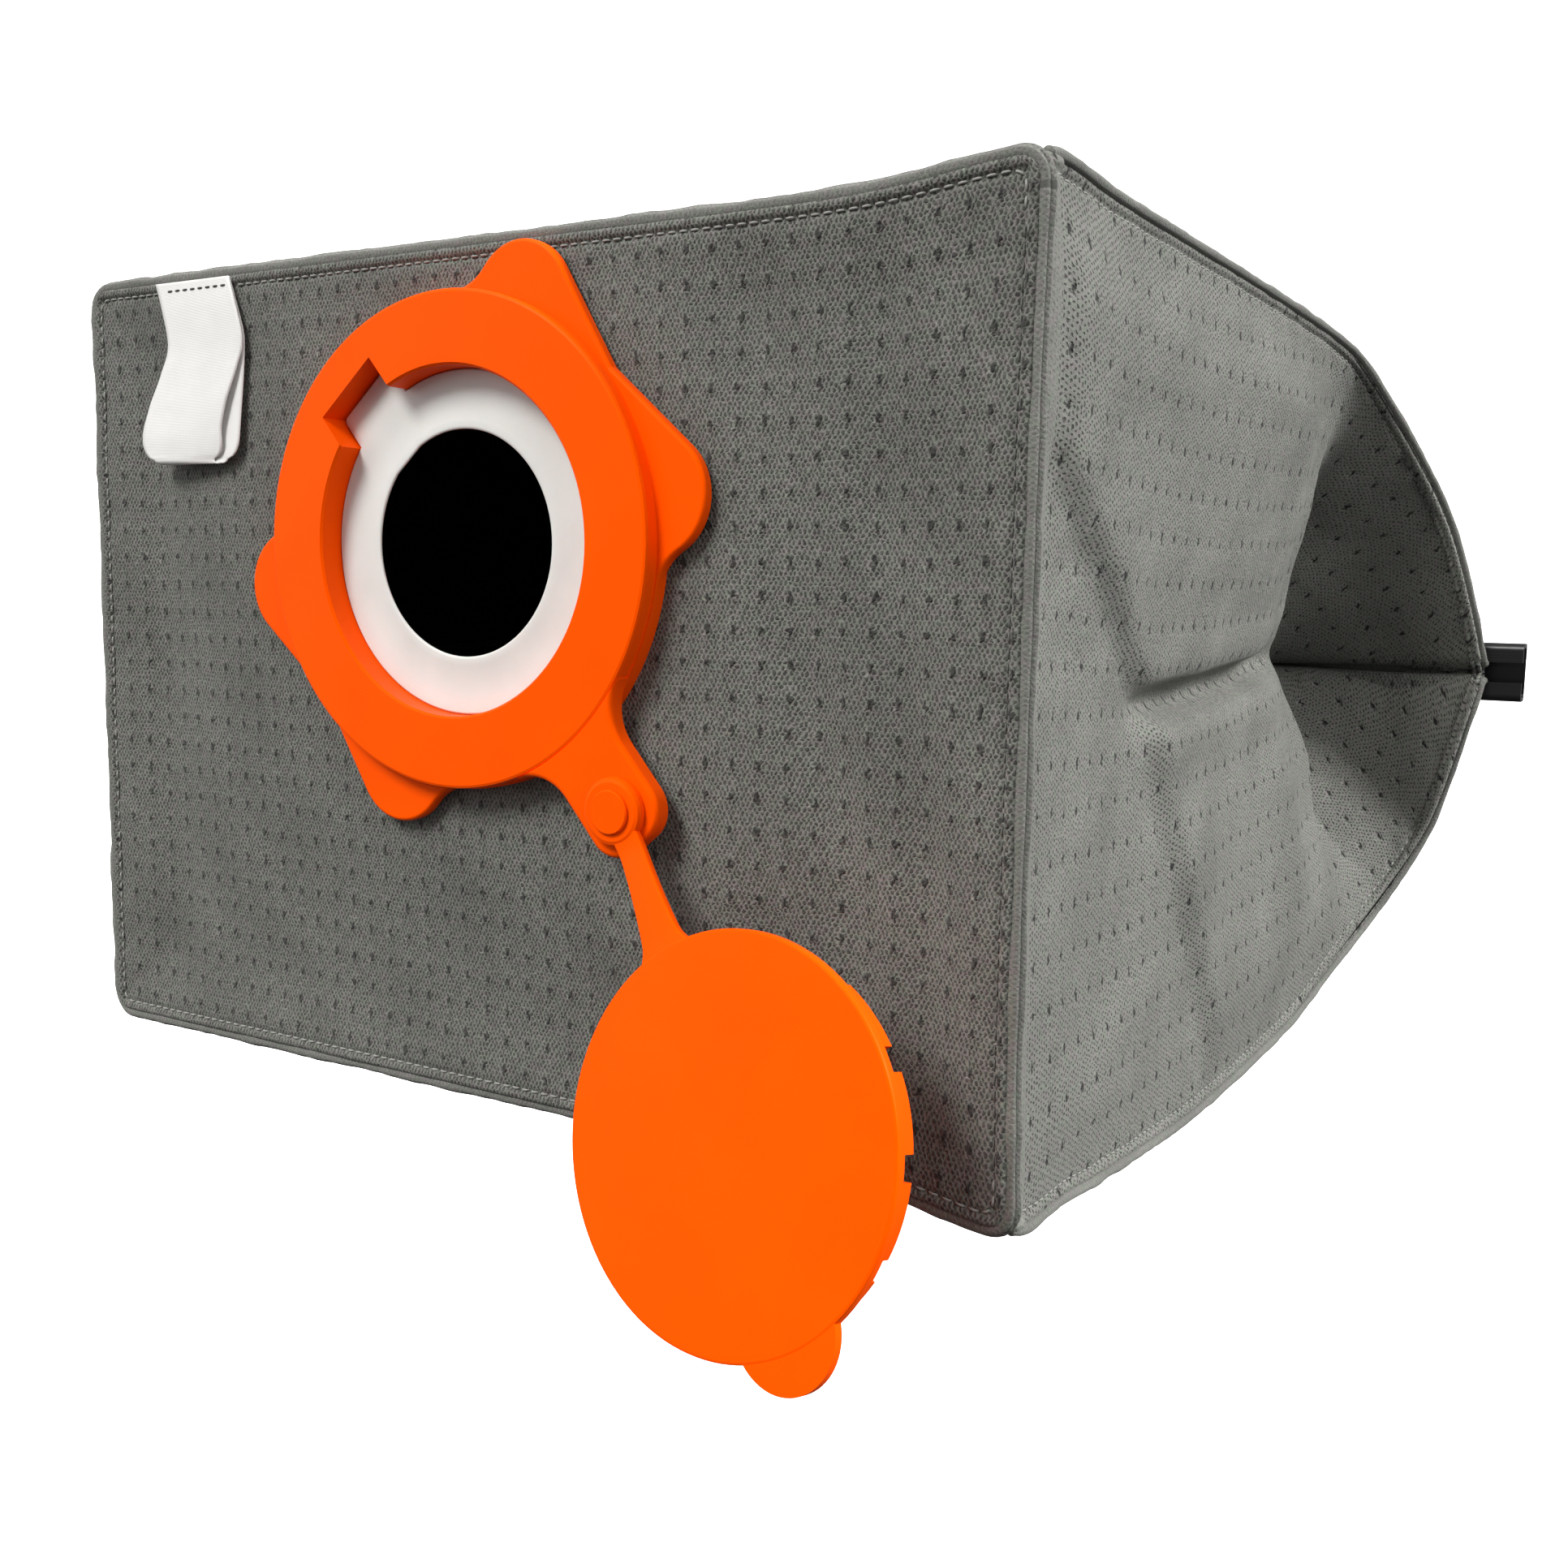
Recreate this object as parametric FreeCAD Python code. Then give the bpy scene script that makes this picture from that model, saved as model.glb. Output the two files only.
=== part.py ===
import FreeCAD, Part
import math
import os

# Reusable fabric filter bag for a dust extractor, in millimetres.
# The origin is the centre of the inlet bore. -Y points out of the bag, +X is to the right
# of someone who faces the collar, and +Z is up. The bag is a cloth tube closed in front by
# a flat panel that holds the collar, and flattened at the rear into a slide-on clamp rail.

# Cloth body
PANEL_W = 312.0          # front panel, seam to seam
PANEL_H = 228.0
PANEL_CX = 3.5           # the bore sits a little left of the panel's centre, and above it
PANEL_CZ = -36.5
CLOTH = 1.2              # outer cloth
LINER = 0.7              # inner filter cloth
LINER_GAP = 0.15
LID_COLUMNS = (-1, -0.92, -0.5, 0, 0.5, 0.92, 1)     # across a top or bottom panel
SIDE_COLUMNS = (0, 0.2, 0.6)                         # from a seam down to the crease
SEAM_INSET = 2.2         # each panel stops this far from its seam line
WELT_R = 1.6             # folded seam edge
MOUTH_Y = 316.0          # where the flattened mouth meets its hem
MOUTH_STACK = 2.7        # half height of the four cloth layers inside the rail's slot
SLIT = 0.15              # half gap between the two tucked side layers
TUCK_START = 215.0       # from here the side cloth lies inside the top and bottom cloth
TUCK_FULL = 285.0

# Stations of the right-hand seams and of the side's middle crease, from front to mouth:
# (x beyond the front panel's half width, y, z above the panel's mid height)
TOP_SEAM = ((0, 0, 114), (2.5, 54, 117), (6.5, 117, 115.5), (12.5, 187, 112), (18, 226, 107),
            (28, 253, 89), (44, 287, 51), (53, 305, 12),
            (54.5, 310, MOUTH_STACK), (54.5, MOUTH_Y, MOUTH_STACK))
LOW_SEAM = ((0, 0, -114), (2, 58, -124), (5.5, 120, -126), (12, 205, -119), (20, 254, -102),
            (29, 287, -84), (41, 303, -57), (52, 307, -14),
            (54.5, 310, -MOUTH_STACK), (54.5, MOUTH_Y, -MOUTH_STACK))
CREASE = ((0, 0, 0), (-2.5, 58, -2.5), (-5.5, 117, -2), (-8, 190, 2), (-9.5, 250, 5),
          (-30, 272, 3.5), (-46, 289, 1.5), (-55, 303, 0.2), (-58, 310, 0), (-59, MOUTH_Y, 0))
TOP_CROWN = (0, 4, 7, 7, 5, 3, 2, 1, 0, 0)
LOW_CROWN = (0, 11, 13, 10, 7, 4, 2, 1, 0, 0)

# Collar
BORE_R = 30.0            # gasket hole that grips the extractor's spigot
RECESS_R = 45.7          # opening of the collar ring, which the cap's skirt enters
SPIGOT_R = 48.6
RING_R = 65.0
FLANGE_R = 65.4
RING_FRONT = -10.0
FLANGE_FRONT = -5.4
FLANGE_BACK = -1.2
GASKET_FRONT = -3.0
GASKET_BACK = 0.6
LIP_R = 41.0
LIP_BACK = 2.6
SPIGOT_BACK = 3.4
BACKING_R = 68.0
BACKING_FRONT = 0.85
KEY_ANGLE = 130.5        # the gasket's key points up and to the left
KEY_TOP_R = 54.6
NOTCH_W = 23.4
KEY_CLEARANCE = 1.0
LOBE_R = 15.5
LOBE_CENTRE_R = 64.5
LOBE_BACK = -2.6         # the lobes stand clear of the cloth
LOBES = ((10.5, 1), (70.5, -1), (190.5, 1), (250.5, -1))   # angle, side of its neighbour
FILLET = 14.0            # concave corners between the flange's edge and lobes or tab

# Hinge tab, pin and cap. The tab stands opposite the key.
TAB_ANGLE = KEY_ANGLE - 180.0
TAB_HALF_W = 11.7
TAB_END_R = 97.6
TAB_CORNER_R = 8.5
TAB_BACK = -5.2
GUSSET = (60.0, 74.0)    # hidden block that joins the tab to the flange, along its length
GUSSET_HALF_W = 7.0
PIN_PITCH = 87.0         # pin to bore, and pin to the cap's centre
PIN_R = 3.0
PIN_HEAD_R = 5.6
PIN_HEAD_T = 0.7
EYELET_R = 8.7
EYELET_BORE_R = 3.08
EYELET_BACK = -10.3
EYELET_FRONT = -12.9
HANG_ANGLE = 34.5        # the cap hangs this far to the right of straight down
HANG_TILT = 15.0         # and its strap springs it this far outward
STRAP_ROOT = 10.5        # pin to the strap's flexing root
STRAP_BACK = -10.4
STRAP_FRONT = -12.6
STRAP_ROOT_HALF_W = 3.9
STRAP_END_HALF_W = 6.4
CAP_R = 48.4
CAP_BACK = -11.2
CAP_FRONT = -13.7
CAP_EDGE = 0.7
SKIRT_R = 45.35
SKIRT_WALL = 1.8
SKIRT_LENGTH = 7.85
SKIRT_TEETH = 12
SKIRT_GAP_DEG = 7.6
PULL_R = 14.2
PULL_CENTRE = 42.8

# Clamp rail and mouth hem
RAIL_LENGTH = 447.0
RAIL_FRONT = 313.0
RAIL_DEPTH = 11.0
RAIL_HALF_H = 10.7
RAIL_WALL = 1.7
RAIL_SLOT = 3.7
RAIL_CORNER_R = 2.6
HEM_FRONT = 316.5
HEM_HALF_L = 209.0
HEM_DEPTH = 5.0
HEM_HALF_H = 6.2

# Sewn-in label: a folded loop of tape that stands off the cloth towards its fold
LABEL_X = (-121.0, -88.0)
LABEL_T = 0.5
LABEL_LOOP = ((76.0, 0), (70.0, 0.6), (60.0, 3.0), (48.0, 5.5), (36.0, 7.0), (29.0, 6.6),
              (25.5, 4.5), (24.0, 1.5))        # (height, stand-off of the front layer)

HALF_W = PANEL_W / 2
HALF_H = PANEL_H / 2


def V(x, y, z):
    return FreeCAD.Vector(x, y, z)


def export(name, shape):
    if not shape.isValid():
        raise ValueError(name + " is not valid")
    shape.exportStep("parts/" + name + ".step")
    print(name, len(shape.Solids), round(shape.Volume, 1))


# ---- solids from point grids -------------------------------------------------------

def triangle(a, b, c):
    return Part.Face(Part.makePolygon([a, b, c, a]))


def quad(faces, a, b, c, d):
    faces.append(triangle(a, b, c))
    faces.append(triangle(a, c, d))


def solid_from(faces):
    solid = Part.Solid(Part.makeShell(faces))
    if solid.Volume < 0:
        solid.reverse()
    return solid


def grid_normals(grid, outward):
    rows = len(grid)
    cols = len(grid[0])
    normals = []
    for i in range(rows):
        line = []
        for j in range(cols):
            along = grid[min(i + 1, rows - 1)][j] - grid[max(i - 1, 0)][j]
            across = grid[i][min(j + 1, cols - 1)] - grid[i][max(j - 1, 0)]
            normal = along.cross(across)
            normal.normalize()
            line.append(normal * outward)
        normals.append(line)
    return normals


def inset_ends(line, gap):
    """Shorten a row of points at both ends, along its first and last steps."""
    first = line[1] - line[0]
    last = line[-2] - line[-1]
    head = line[0] + first * (gap / first.Length)
    tail = line[-1] + last * (gap / last.Length)
    return [head] + line[1:-1] + [tail]


def sheet(grid, normals, outer, inner):
    """Closed solid between two depths below a grid of surface points."""
    top = [[p - n * outer for p, n in zip(a, b)] for a, b in zip(grid, normals)]
    low = [[p - n * inner for p, n in zip(a, b)] for a, b in zip(grid, normals)]
    faces = []
    rows = len(grid) - 1
    cols = len(grid[0]) - 1
    for i in range(rows):
        for j in range(cols):
            quad(faces, top[i][j], top[i + 1][j], top[i + 1][j + 1], top[i][j + 1])
            quad(faces, low[i][j], low[i][j + 1], low[i + 1][j + 1], low[i + 1][j])
    for i in range(rows):
        for j in (0, cols):
            quad(faces, top[i][j], low[i][j], low[i + 1][j], top[i + 1][j])
    for j in range(cols):
        for i in (0, rows):
            quad(faces, top[i][j], low[i][j], low[i][j + 1], top[i][j + 1])
    return solid_from(faces)


def tube(path, radius, sides=8, closed=False):
    """Polygonal tube along a list of points, used for the folded seam edges."""
    count = len(path)
    rings = []
    for i in range(count):
        if closed:
            ahead = path[(i + 1) % count] - path[i]
            behind = path[i] - path[i - 1]
        else:
            ahead = path[min(i + 1, count - 1)] - path[min(i, count - 2)]
            behind = path[max(i, 1)] - path[max(i - 1, 0)]
        ahead.normalize()
        behind.normalize()
        tangent = ahead + behind
        tangent.normalize()
        side = tangent.cross(V(0.2, 0.1, 1) if closed is False else V(0, 1, 0))
        side.normalize()
        other = tangent.cross(side)
        mitre = 1.0 / max(0.6, tangent.dot(ahead))
        ring = []
        for k in range(sides):
            angle = 2 * math.pi * k / sides
            ring.append(path[i] + side * (radius * mitre * math.cos(angle))
                        + other * (radius * math.sin(angle)))
        rings.append(ring)
    faces = []
    for i in range(count if closed else count - 1):
        a = rings[i]
        b = rings[(i + 1) % count]
        for k in range(sides):
            m = (k + 1) % sides
            quad(faces, a[k], a[m], b[m], b[k])
    if not closed:
        for ring, centre in ((rings[0], path[0]), (rings[-1], path[-1])):
            for k in range(sides):
                faces.append(triangle(centre, ring[k], ring[(k + 1) % sides]))
    return solid_from(faces)


# ---- cloth body --------------------------------------------------------------------

def place(station, side):
    x, y, z = station
    return V(PANEL_CX + side * (HALF_W + x), y, PANEL_CZ + z)


def lid_grid(seam, crown, up):
    """Top or bottom cloth: from the left seam to the right one, crowned between."""
    grid = []
    for (x, y, z), rise in zip(seam, crown):
        line = []
        for u in LID_COLUMNS:
            line.append(V(PANEL_CX + u * (HALF_W + x), y,
                          PANEL_CZ + z + up * rise * (1 - u * u)))
        grid.append(inset_ends(line, SEAM_INSET))
    return grid


def tuck_shift(seam, i):
    """How far the side cloth's edge lies inside the lid's surface, as (y, z)."""
    before = seam[max(i - 1, 0)]
    after = seam[min(i + 1, len(seam) - 1)]
    dy = after[1] - before[1]
    dz = after[2] - before[2]
    run = math.hypot(dy, dz)
    share = min(1.0, max(0.0, (seam[i][1] - TUCK_START) / (TUCK_FULL - TUCK_START)))
    depth = share * (MOUTH_STACK - SLIT)
    inward = -1 if seam[0][2] > 0 else 1
    return inward * depth * -dz / run, inward * depth * dy / run


def side_grid(side):
    """Side cloth: top seam, tucked middle crease, bottom seam."""
    grid = []
    for i, (top, mid, low) in enumerate(zip(TOP_SEAM, CREASE, LOW_SEAM)):
        t = place(top, side)
        m = place(mid, side)
        b = place(low, side)
        for point, seam in ((t, TOP_SEAM), (b, LOW_SEAM)):
            shift_y, shift_z = tuck_shift(seam, i)
            point.y += shift_y
            point.z += shift_z
        line = [t + (m - t) * f for f in SIDE_COLUMNS] + [m]
        line += [b + (m - b) * f for f in reversed(SIDE_COLUMNS)]
        grid.append(inset_ends(line, SEAM_INSET))
    return grid


def start_behind_front(grid):
    """Start a long panel's cloth just behind the front seam."""
    first = grid[0]
    second = grid[1]
    moved = []
    for p, q in zip(first, second):
        moved.append(p + (q - p) * (SEAM_INSET / (q - p).Length))
    return [moved] + grid[1:]


def export_cloth(name, grid, normals):
    """Outer cloth, and its liner, which leaves out the seams and the rail's slot."""
    export(name + "_panel", sheet(grid, normals, 0, CLOTH))
    inner = [line[1:-1] for line in grid[:-3]]
    inner_normals = [line[1:-1] for line in normals[:-3]]
    depth = CLOTH + LINER_GAP
    export(name + "_liner", sheet(inner, inner_normals, depth, depth + LINER))


def front_plate(front, back, inset, hole_r):
    plate = Part.makeBox(PANEL_W - 2 * inset, back - front, PANEL_H - 2 * inset,
                         V(PANEL_CX - HALF_W + inset, front, PANEL_CZ - HALF_H + inset))
    hole = Part.makeCylinder(hole_r, back - front + 2, V(0, front - 1, 0), V(0, 1, 0))
    return plate.cut(hole)


def make_cloth():
    export("front_panel", front_plate(FLANGE_BACK, FLANGE_BACK + CLOTH, SEAM_INSET, SPIGOT_R))
    liner_front = FLANGE_BACK + CLOTH + LINER_GAP
    export("front_liner", front_plate(liner_front, liner_front + LINER, 6.0, SPIGOT_R))
    lids = (("top", lid_grid(TOP_SEAM, TOP_CROWN, 1), 1),
            ("bottom", lid_grid(LOW_SEAM, LOW_CROWN, -1), -1))
    for name, grid, up in lids:
        grid = start_behind_front(grid)
        export_cloth(name, grid, grid_normals(grid, -up))
    for name, side in (("right_side", 1), ("left_side", -1)):
        grid = start_behind_front(side_grid(side))
        normals = grid_normals(grid, -side)
        middle = len(grid[0]) // 2
        for line in normals:
            line[middle] = V(side, 0, 0)
        export_cloth(name, grid, normals)


def make_seams():
    corner = 5.0
    loop = []
    y = FLANGE_BACK + CLOTH / 2
    for sx, sz, start in ((1, 1, 0), (-1, 1, 90), (-1, -1, 180), (1, -1, 270)):
        cx = PANEL_CX + sx * (HALF_W - corner)
        cz = PANEL_CZ + sz * (HALF_H - corner)
        for step in range(4):
            angle = math.radians(start + 30 * step)
            loop.append(V(cx + corner * math.cos(angle), y, cz + corner * math.sin(angle)))
    export("front_seam_welt", tube(loop, WELT_R, closed=True))
    for name, seam in (("top", TOP_SEAM), ("bottom", LOW_SEAM)):
        for side_name, side in (("right", 1), ("left", -1)):
            path = [place(s, side) for s in seam[:-1]]
            path[0] = path[0] + V(0, 2 * WELT_R, 0)
            export(name + "_" + side_name + "_seam_welt", tube(path, WELT_R))


def make_mouth():
    hem = Part.makeBox(2 * HEM_HALF_L, HEM_DEPTH, 2 * HEM_HALF_H,
                       V(PANEL_CX - HEM_HALF_L, HEM_FRONT, PANEL_CZ - HEM_HALF_H))
    long_edges = [e for e in hem.Edges if abs(e.Length - 2 * HEM_HALF_L) < 0.01]
    export("mouth_hem", hem.makeFillet(2.2, long_edges))


def make_rail():
    x0 = PANEL_CX - RAIL_LENGTH / 2
    outer = Part.makeBox(RAIL_LENGTH, RAIL_DEPTH, 2 * RAIL_HALF_H,
                         V(x0, RAIL_FRONT, PANEL_CZ - RAIL_HALF_H))
    long_edges = [e for e in outer.Edges if abs(e.Length - RAIL_LENGTH) < 0.01]
    outer = outer.makeFillet(RAIL_CORNER_R, long_edges)
    cavity_half_h = RAIL_HALF_H - RAIL_WALL
    cavity = Part.makeBox(RAIL_LENGTH + 2, RAIL_DEPTH - 2 * RAIL_WALL, 2 * cavity_half_h,
                          V(x0 - 1, RAIL_FRONT + RAIL_WALL, PANEL_CZ - cavity_half_h))
    long_edges = [e for e in cavity.Edges if abs(e.Length - RAIL_LENGTH - 2) < 0.01]
    cavity = cavity.makeFillet(RAIL_CORNER_R - RAIL_WALL, long_edges)
    slot = Part.makeBox(RAIL_LENGTH + 2, RAIL_WALL + 2, 2 * RAIL_SLOT,
                        V(x0 - 1, RAIL_FRONT - 1, PANEL_CZ - RAIL_SLOT))
    export("closure_rail", outer.cut(cavity).cut(slot))


# ---- collar ------------------------------------------------------------------------

def polar(radius, degrees, y=0.0):
    angle = math.radians(degrees)
    return V(radius * math.cos(angle), y, radius * math.sin(angle))


def disc(radius, front, back, centre=None):
    centre = centre or V(0, 0, 0)
    return Part.makeCylinder(radius, back - front, V(centre.x, front, centre.z), V(0, 1, 0))


def prism(points, front, back):
    lifted = [V(p.x, front, p.z) for p in points]
    wire = Part.makePolygon(lifted + [lifted[0]])
    return Part.Face(wire).extrude(V(0, back - front, 0))


def turned(profile):
    """Revolve a closed outline of (radius, y) points about the bore's axis."""
    points = [V(r, y, 0) for r, y in profile]
    face = Part.Face(Part.makePolygon(points + [points[0]]))
    return face.revolve(V(0, 0, 0), V(0, 1, 0), 360)


def web(direction, side, front, back):
    """Concave fillet between the flange's round edge and a round lobe on it."""
    far = FLANGE_R + FILLET
    near = LOBE_R + FILLET
    cosine = (far ** 2 + LOBE_CENTRE_R ** 2 - near ** 2) / (2 * far * LOBE_CENTRE_R)
    fillet = polar(far, direction + side * math.degrees(math.acos(cosine)))
    wedge = prism([V(0, 0, 0), polar(LOBE_CENTRE_R, direction), fillet], front, back)
    return wedge.cut(disc(FILLET, front - 1, back + 1, fillet))


def flank(direction, side, front, back):
    """Space under the straight line that touches the flange's round edge and a round lobe."""
    touch = direction + side * math.degrees(math.acos((FLANGE_R - LOBE_R) / LOBE_CENTRE_R))
    lobe = polar(LOBE_CENTRE_R, direction)
    return prism([V(0, 0, 0), polar(FLANGE_R, touch), lobe + polar(LOBE_R, touch), lobe],
                 front, back)


def notch(front, back, top_r, width):
    """Key-shaped space that runs outward from the bore along the key's direction."""
    block = Part.makeBox(top_r, back - front, width, V(0, front, -width / 2))
    block.rotate(V(0, 0, 0), V(0, -1, 0), KEY_ANGLE)
    return block


def tab_blank(front, back):
    block = Part.makeBox(TAB_END_R, back - front, 2 * TAB_HALF_W, V(0, front, -TAB_HALF_W))
    ends = []
    for edge in block.Edges:
        mid = edge.CenterOfMass
        if abs(mid.x - TAB_END_R) < 0.01 and abs(abs(mid.z) - TAB_HALF_W) < 0.01:
            ends.append(edge)
    block = block.makeFillet(TAB_CORNER_R, ends)
    for side in (1, -1):
        reach_z = TAB_HALF_W + FILLET
        reach = math.sqrt((FLANGE_R + FILLET) ** 2 - reach_z ** 2)
        corner = prism([V(0, 0, 0), V(reach, 0, 0), V(reach, 0, side * reach_z)], front, back)
        corner = corner.cut(disc(FILLET, front - 1, back + 1,
                                 V(reach, 0, side * reach_z)))
        block = block.fuse(corner)
    block.rotate(V(0, 0, 0), V(0, -1, 0), TAB_ANGLE)
    return block


def pin_centre():
    return polar(PIN_PITCH, TAB_ANGLE)


def soften(shape, level, radius):
    """Round the outer edges of a front face, and leave the shape alone where it can't be."""
    edges = []
    for edge in shape.Edges:
        box = edge.BoundBox
        at_level = abs(box.YMin - level) < 0.01 and abs(box.YMax - level) < 0.01
        outside = (edge.CenterOfMass.x ** 2 + edge.CenterOfMass.z ** 2) ** 0.5 > RING_R - 1
        if at_level and outside:
            edges.append(edge)
    rounded = shape.makeFillet(radius, edges)
    return rounded if rounded.isValid() else shape


def make_collar():
    plate = disc(FLANGE_R, FLANGE_FRONT, FLANGE_BACK)
    lobes = disc(FLANGE_R, FLANGE_FRONT, LOBE_BACK)
    for angle, side in LOBES:
        lobes = lobes.fuse(disc(LOBE_R, FLANGE_FRONT, LOBE_BACK, polar(LOBE_CENTRE_R, angle)))
        lobes = lobes.fuse(flank(angle, side, FLANGE_FRONT, LOBE_BACK))
        lobes = lobes.fuse(web(angle, -side, FLANGE_FRONT, LOBE_BACK))
    lobes = soften(lobes.removeSplitter(), FLANGE_FRONT, 1.1)
    tab = soften(tab_blank(RING_FRONT, TAB_BACK).removeSplitter(), RING_FRONT, 1.4)
    gusset = Part.makeBox(GUSSET[1] - GUSSET[0], LOBE_BACK - FLANGE_FRONT, 2 * GUSSET_HALF_W,
                          V(GUSSET[0], FLANGE_FRONT, -GUSSET_HALF_W))
    gusset.rotate(V(0, 0, 0), V(0, -1, 0), TAB_ANGLE)
    plate = plate.fuse(lobes).fuse(tab).fuse(gusset)
    plate = plate.cut(disc(SPIGOT_R, RING_FRONT - 1, FLANGE_BACK + 1))
    plate = plate.cut(disc(RING_R, RING_FRONT - 1, FLANGE_FRONT))
    plate = plate.cut(notch(FLANGE_FRONT - 1, FLANGE_BACK + 1, KEY_TOP_R, NOTCH_W))
    plate = plate.cut(disc(PIN_R, RING_FRONT - 1, FLANGE_BACK + 1, pin_centre()))
    export("collar_flange", plate)

    edge = 0.9
    ring = turned([(RECESS_R + 0.6, RING_FRONT), (RING_R - edge, RING_FRONT),
                   (RING_R - 0.3, RING_FRONT + 0.25), (RING_R, RING_FRONT + edge),
                   (RING_R, FLANGE_FRONT), (SPIGOT_R, FLANGE_FRONT), (SPIGOT_R, SPIGOT_BACK),
                   (LIP_R, SPIGOT_BACK), (LIP_R, GASKET_BACK), (RECESS_R, GASKET_BACK),
                   (RECESS_R, RING_FRONT + 0.6)])
    ring = ring.cut(notch(RING_FRONT - 1, FLANGE_BACK, KEY_TOP_R, NOTCH_W))
    export("collar_ring", ring)

    gasket = turned([(BORE_R, GASKET_FRONT + 0.5), (BORE_R + 0.5, GASKET_FRONT),
                     (RECESS_R, GASKET_FRONT), (RECESS_R, GASKET_BACK),
                     (BORE_R, GASKET_BACK)])
    key = notch(GASKET_FRONT, FLANGE_BACK, KEY_TOP_R - KEY_CLEARANCE / 2,
                NOTCH_W - KEY_CLEARANCE)
    key = key.cut(disc(RECESS_R - 1, GASKET_FRONT - 1, FLANGE_BACK + 1))
    export("seal_gasket", gasket.fuse(key).removeSplitter())

    backing = turned([(SPIGOT_R, BACKING_FRONT), (BACKING_R, BACKING_FRONT),
                      (BACKING_R, SPIGOT_BACK - 0.8), (BACKING_R - 0.8, SPIGOT_BACK),
                      (SPIGOT_R, SPIGOT_BACK)])
    export("backing_ring", backing)

    head_back = EYELET_FRONT - 0.3
    head_front = head_back - PIN_HEAD_T
    pin = turned([(0, head_front), (PIN_HEAD_R - 0.3, head_front),
                  (PIN_HEAD_R, head_front + 0.3), (PIN_HEAD_R, head_back),
                  (PIN_R, head_back), (PIN_R, TAB_BACK), (0, TAB_BACK)])
    pin.translate(pin_centre())
    export("pivot_pin", pin)


# ---- tethered cap ------------------------------------------------------------------
# The cap is drawn with its strap running straight down from a pin at the origin, flat
# against the collar, and is then tilted at the strap's root and swung to where it hangs.

def hang(shape, tilted):
    if tilted:
        root = V(0, (STRAP_BACK + STRAP_FRONT) / 2, -STRAP_ROOT)
        shape.rotate(root, V(-1, 0, 0), HANG_TILT)
    shape.rotate(V(0, 0, 0), V(0, -1, 0), HANG_ANGLE)
    shape.translate(pin_centre())
    return shape


def make_eyelet():
    eyelet = turned([(EYELET_BORE_R, EYELET_FRONT), (EYELET_R - 1.3, EYELET_FRONT),
                     (EYELET_R - 0.4, EYELET_FRONT + 0.4), (EYELET_R, EYELET_FRONT + 1.3),
                     (EYELET_R, EYELET_BACK),
                     (EYELET_BORE_R, EYELET_BACK)])
    export("cap_eyelet", hang(eyelet, False))


def make_strap():
    end = PIN_PITCH - CAP_R + 4.0
    half_t = (STRAP_BACK - STRAP_FRONT) / 2
    middle = (STRAP_BACK + STRAP_FRONT) / 2
    outline = [V(-STRAP_ROOT_HALF_W, 0, -STRAP_ROOT), V(STRAP_ROOT_HALF_W, 0, -STRAP_ROOT),
               V(STRAP_END_HALF_W - 0.5, 0, -(PIN_PITCH - CAP_R) + 7),
               V(STRAP_END_HALF_W + 2.5, 0, -(PIN_PITCH - CAP_R) + 1),
               V(STRAP_END_HALF_W + 4.5, 0, -end),
               V(-STRAP_END_HALF_W - 4.5, 0, -end),
               V(-STRAP_END_HALF_W - 2.5, 0, -(PIN_PITCH - CAP_R) + 1),
               V(-STRAP_END_HALF_W + 0.5, 0, -(PIN_PITCH - CAP_R) + 7)]
    strap = prism(outline, STRAP_FRONT, STRAP_BACK)
    barrel = Part.makeCylinder(half_t, 2 * STRAP_ROOT_HALF_W,
                               V(-STRAP_ROOT_HALF_W, middle, -STRAP_ROOT), V(1, 0, 0))
    strap = strap.fuse(barrel)
    strap = strap.cut(disc(CAP_R, STRAP_FRONT - 1, STRAP_BACK + 1, V(0, 0, -PIN_PITCH)))
    export("cap_strap", hang(strap.removeSplitter(), True))


def make_cap():
    plate = turned([(0, CAP_FRONT), (CAP_R - CAP_EDGE, CAP_FRONT),
                    (CAP_R - 0.2, CAP_FRONT + 0.2), (CAP_R, CAP_FRONT + CAP_EDGE),
                    (CAP_R, CAP_BACK), (0, CAP_BACK)])
    pull = disc(PULL_R, CAP_FRONT + 0.2, CAP_BACK, V(0, 0, -PULL_CENTRE))
    skirt = disc(SKIRT_R, CAP_BACK, CAP_BACK + SKIRT_LENGTH)
    skirt = skirt.cut(disc(SKIRT_R - SKIRT_WALL, CAP_BACK - 1, CAP_BACK + SKIRT_LENGTH + 1))
    gap_w = 2 * SKIRT_R * math.sin(math.radians(SKIRT_GAP_DEG / 2))
    for k in range(SKIRT_TEETH):
        gap = Part.makeBox(SKIRT_WALL + 2, SKIRT_LENGTH, gap_w,
                           V(SKIRT_R - SKIRT_WALL - 1, CAP_BACK + 0.2, -gap_w / 2))
        gap.rotate(V(0, 0, 0), V(0, 1, 0), 360.0 * k / SKIRT_TEETH)
        skirt = skirt.cut(gap)
    cap = plate.fuse(pull).fuse(skirt).removeSplitter()
    cap.translate(V(0, 0, -PIN_PITCH))
    export("closure_cap", hang(cap, True))


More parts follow.
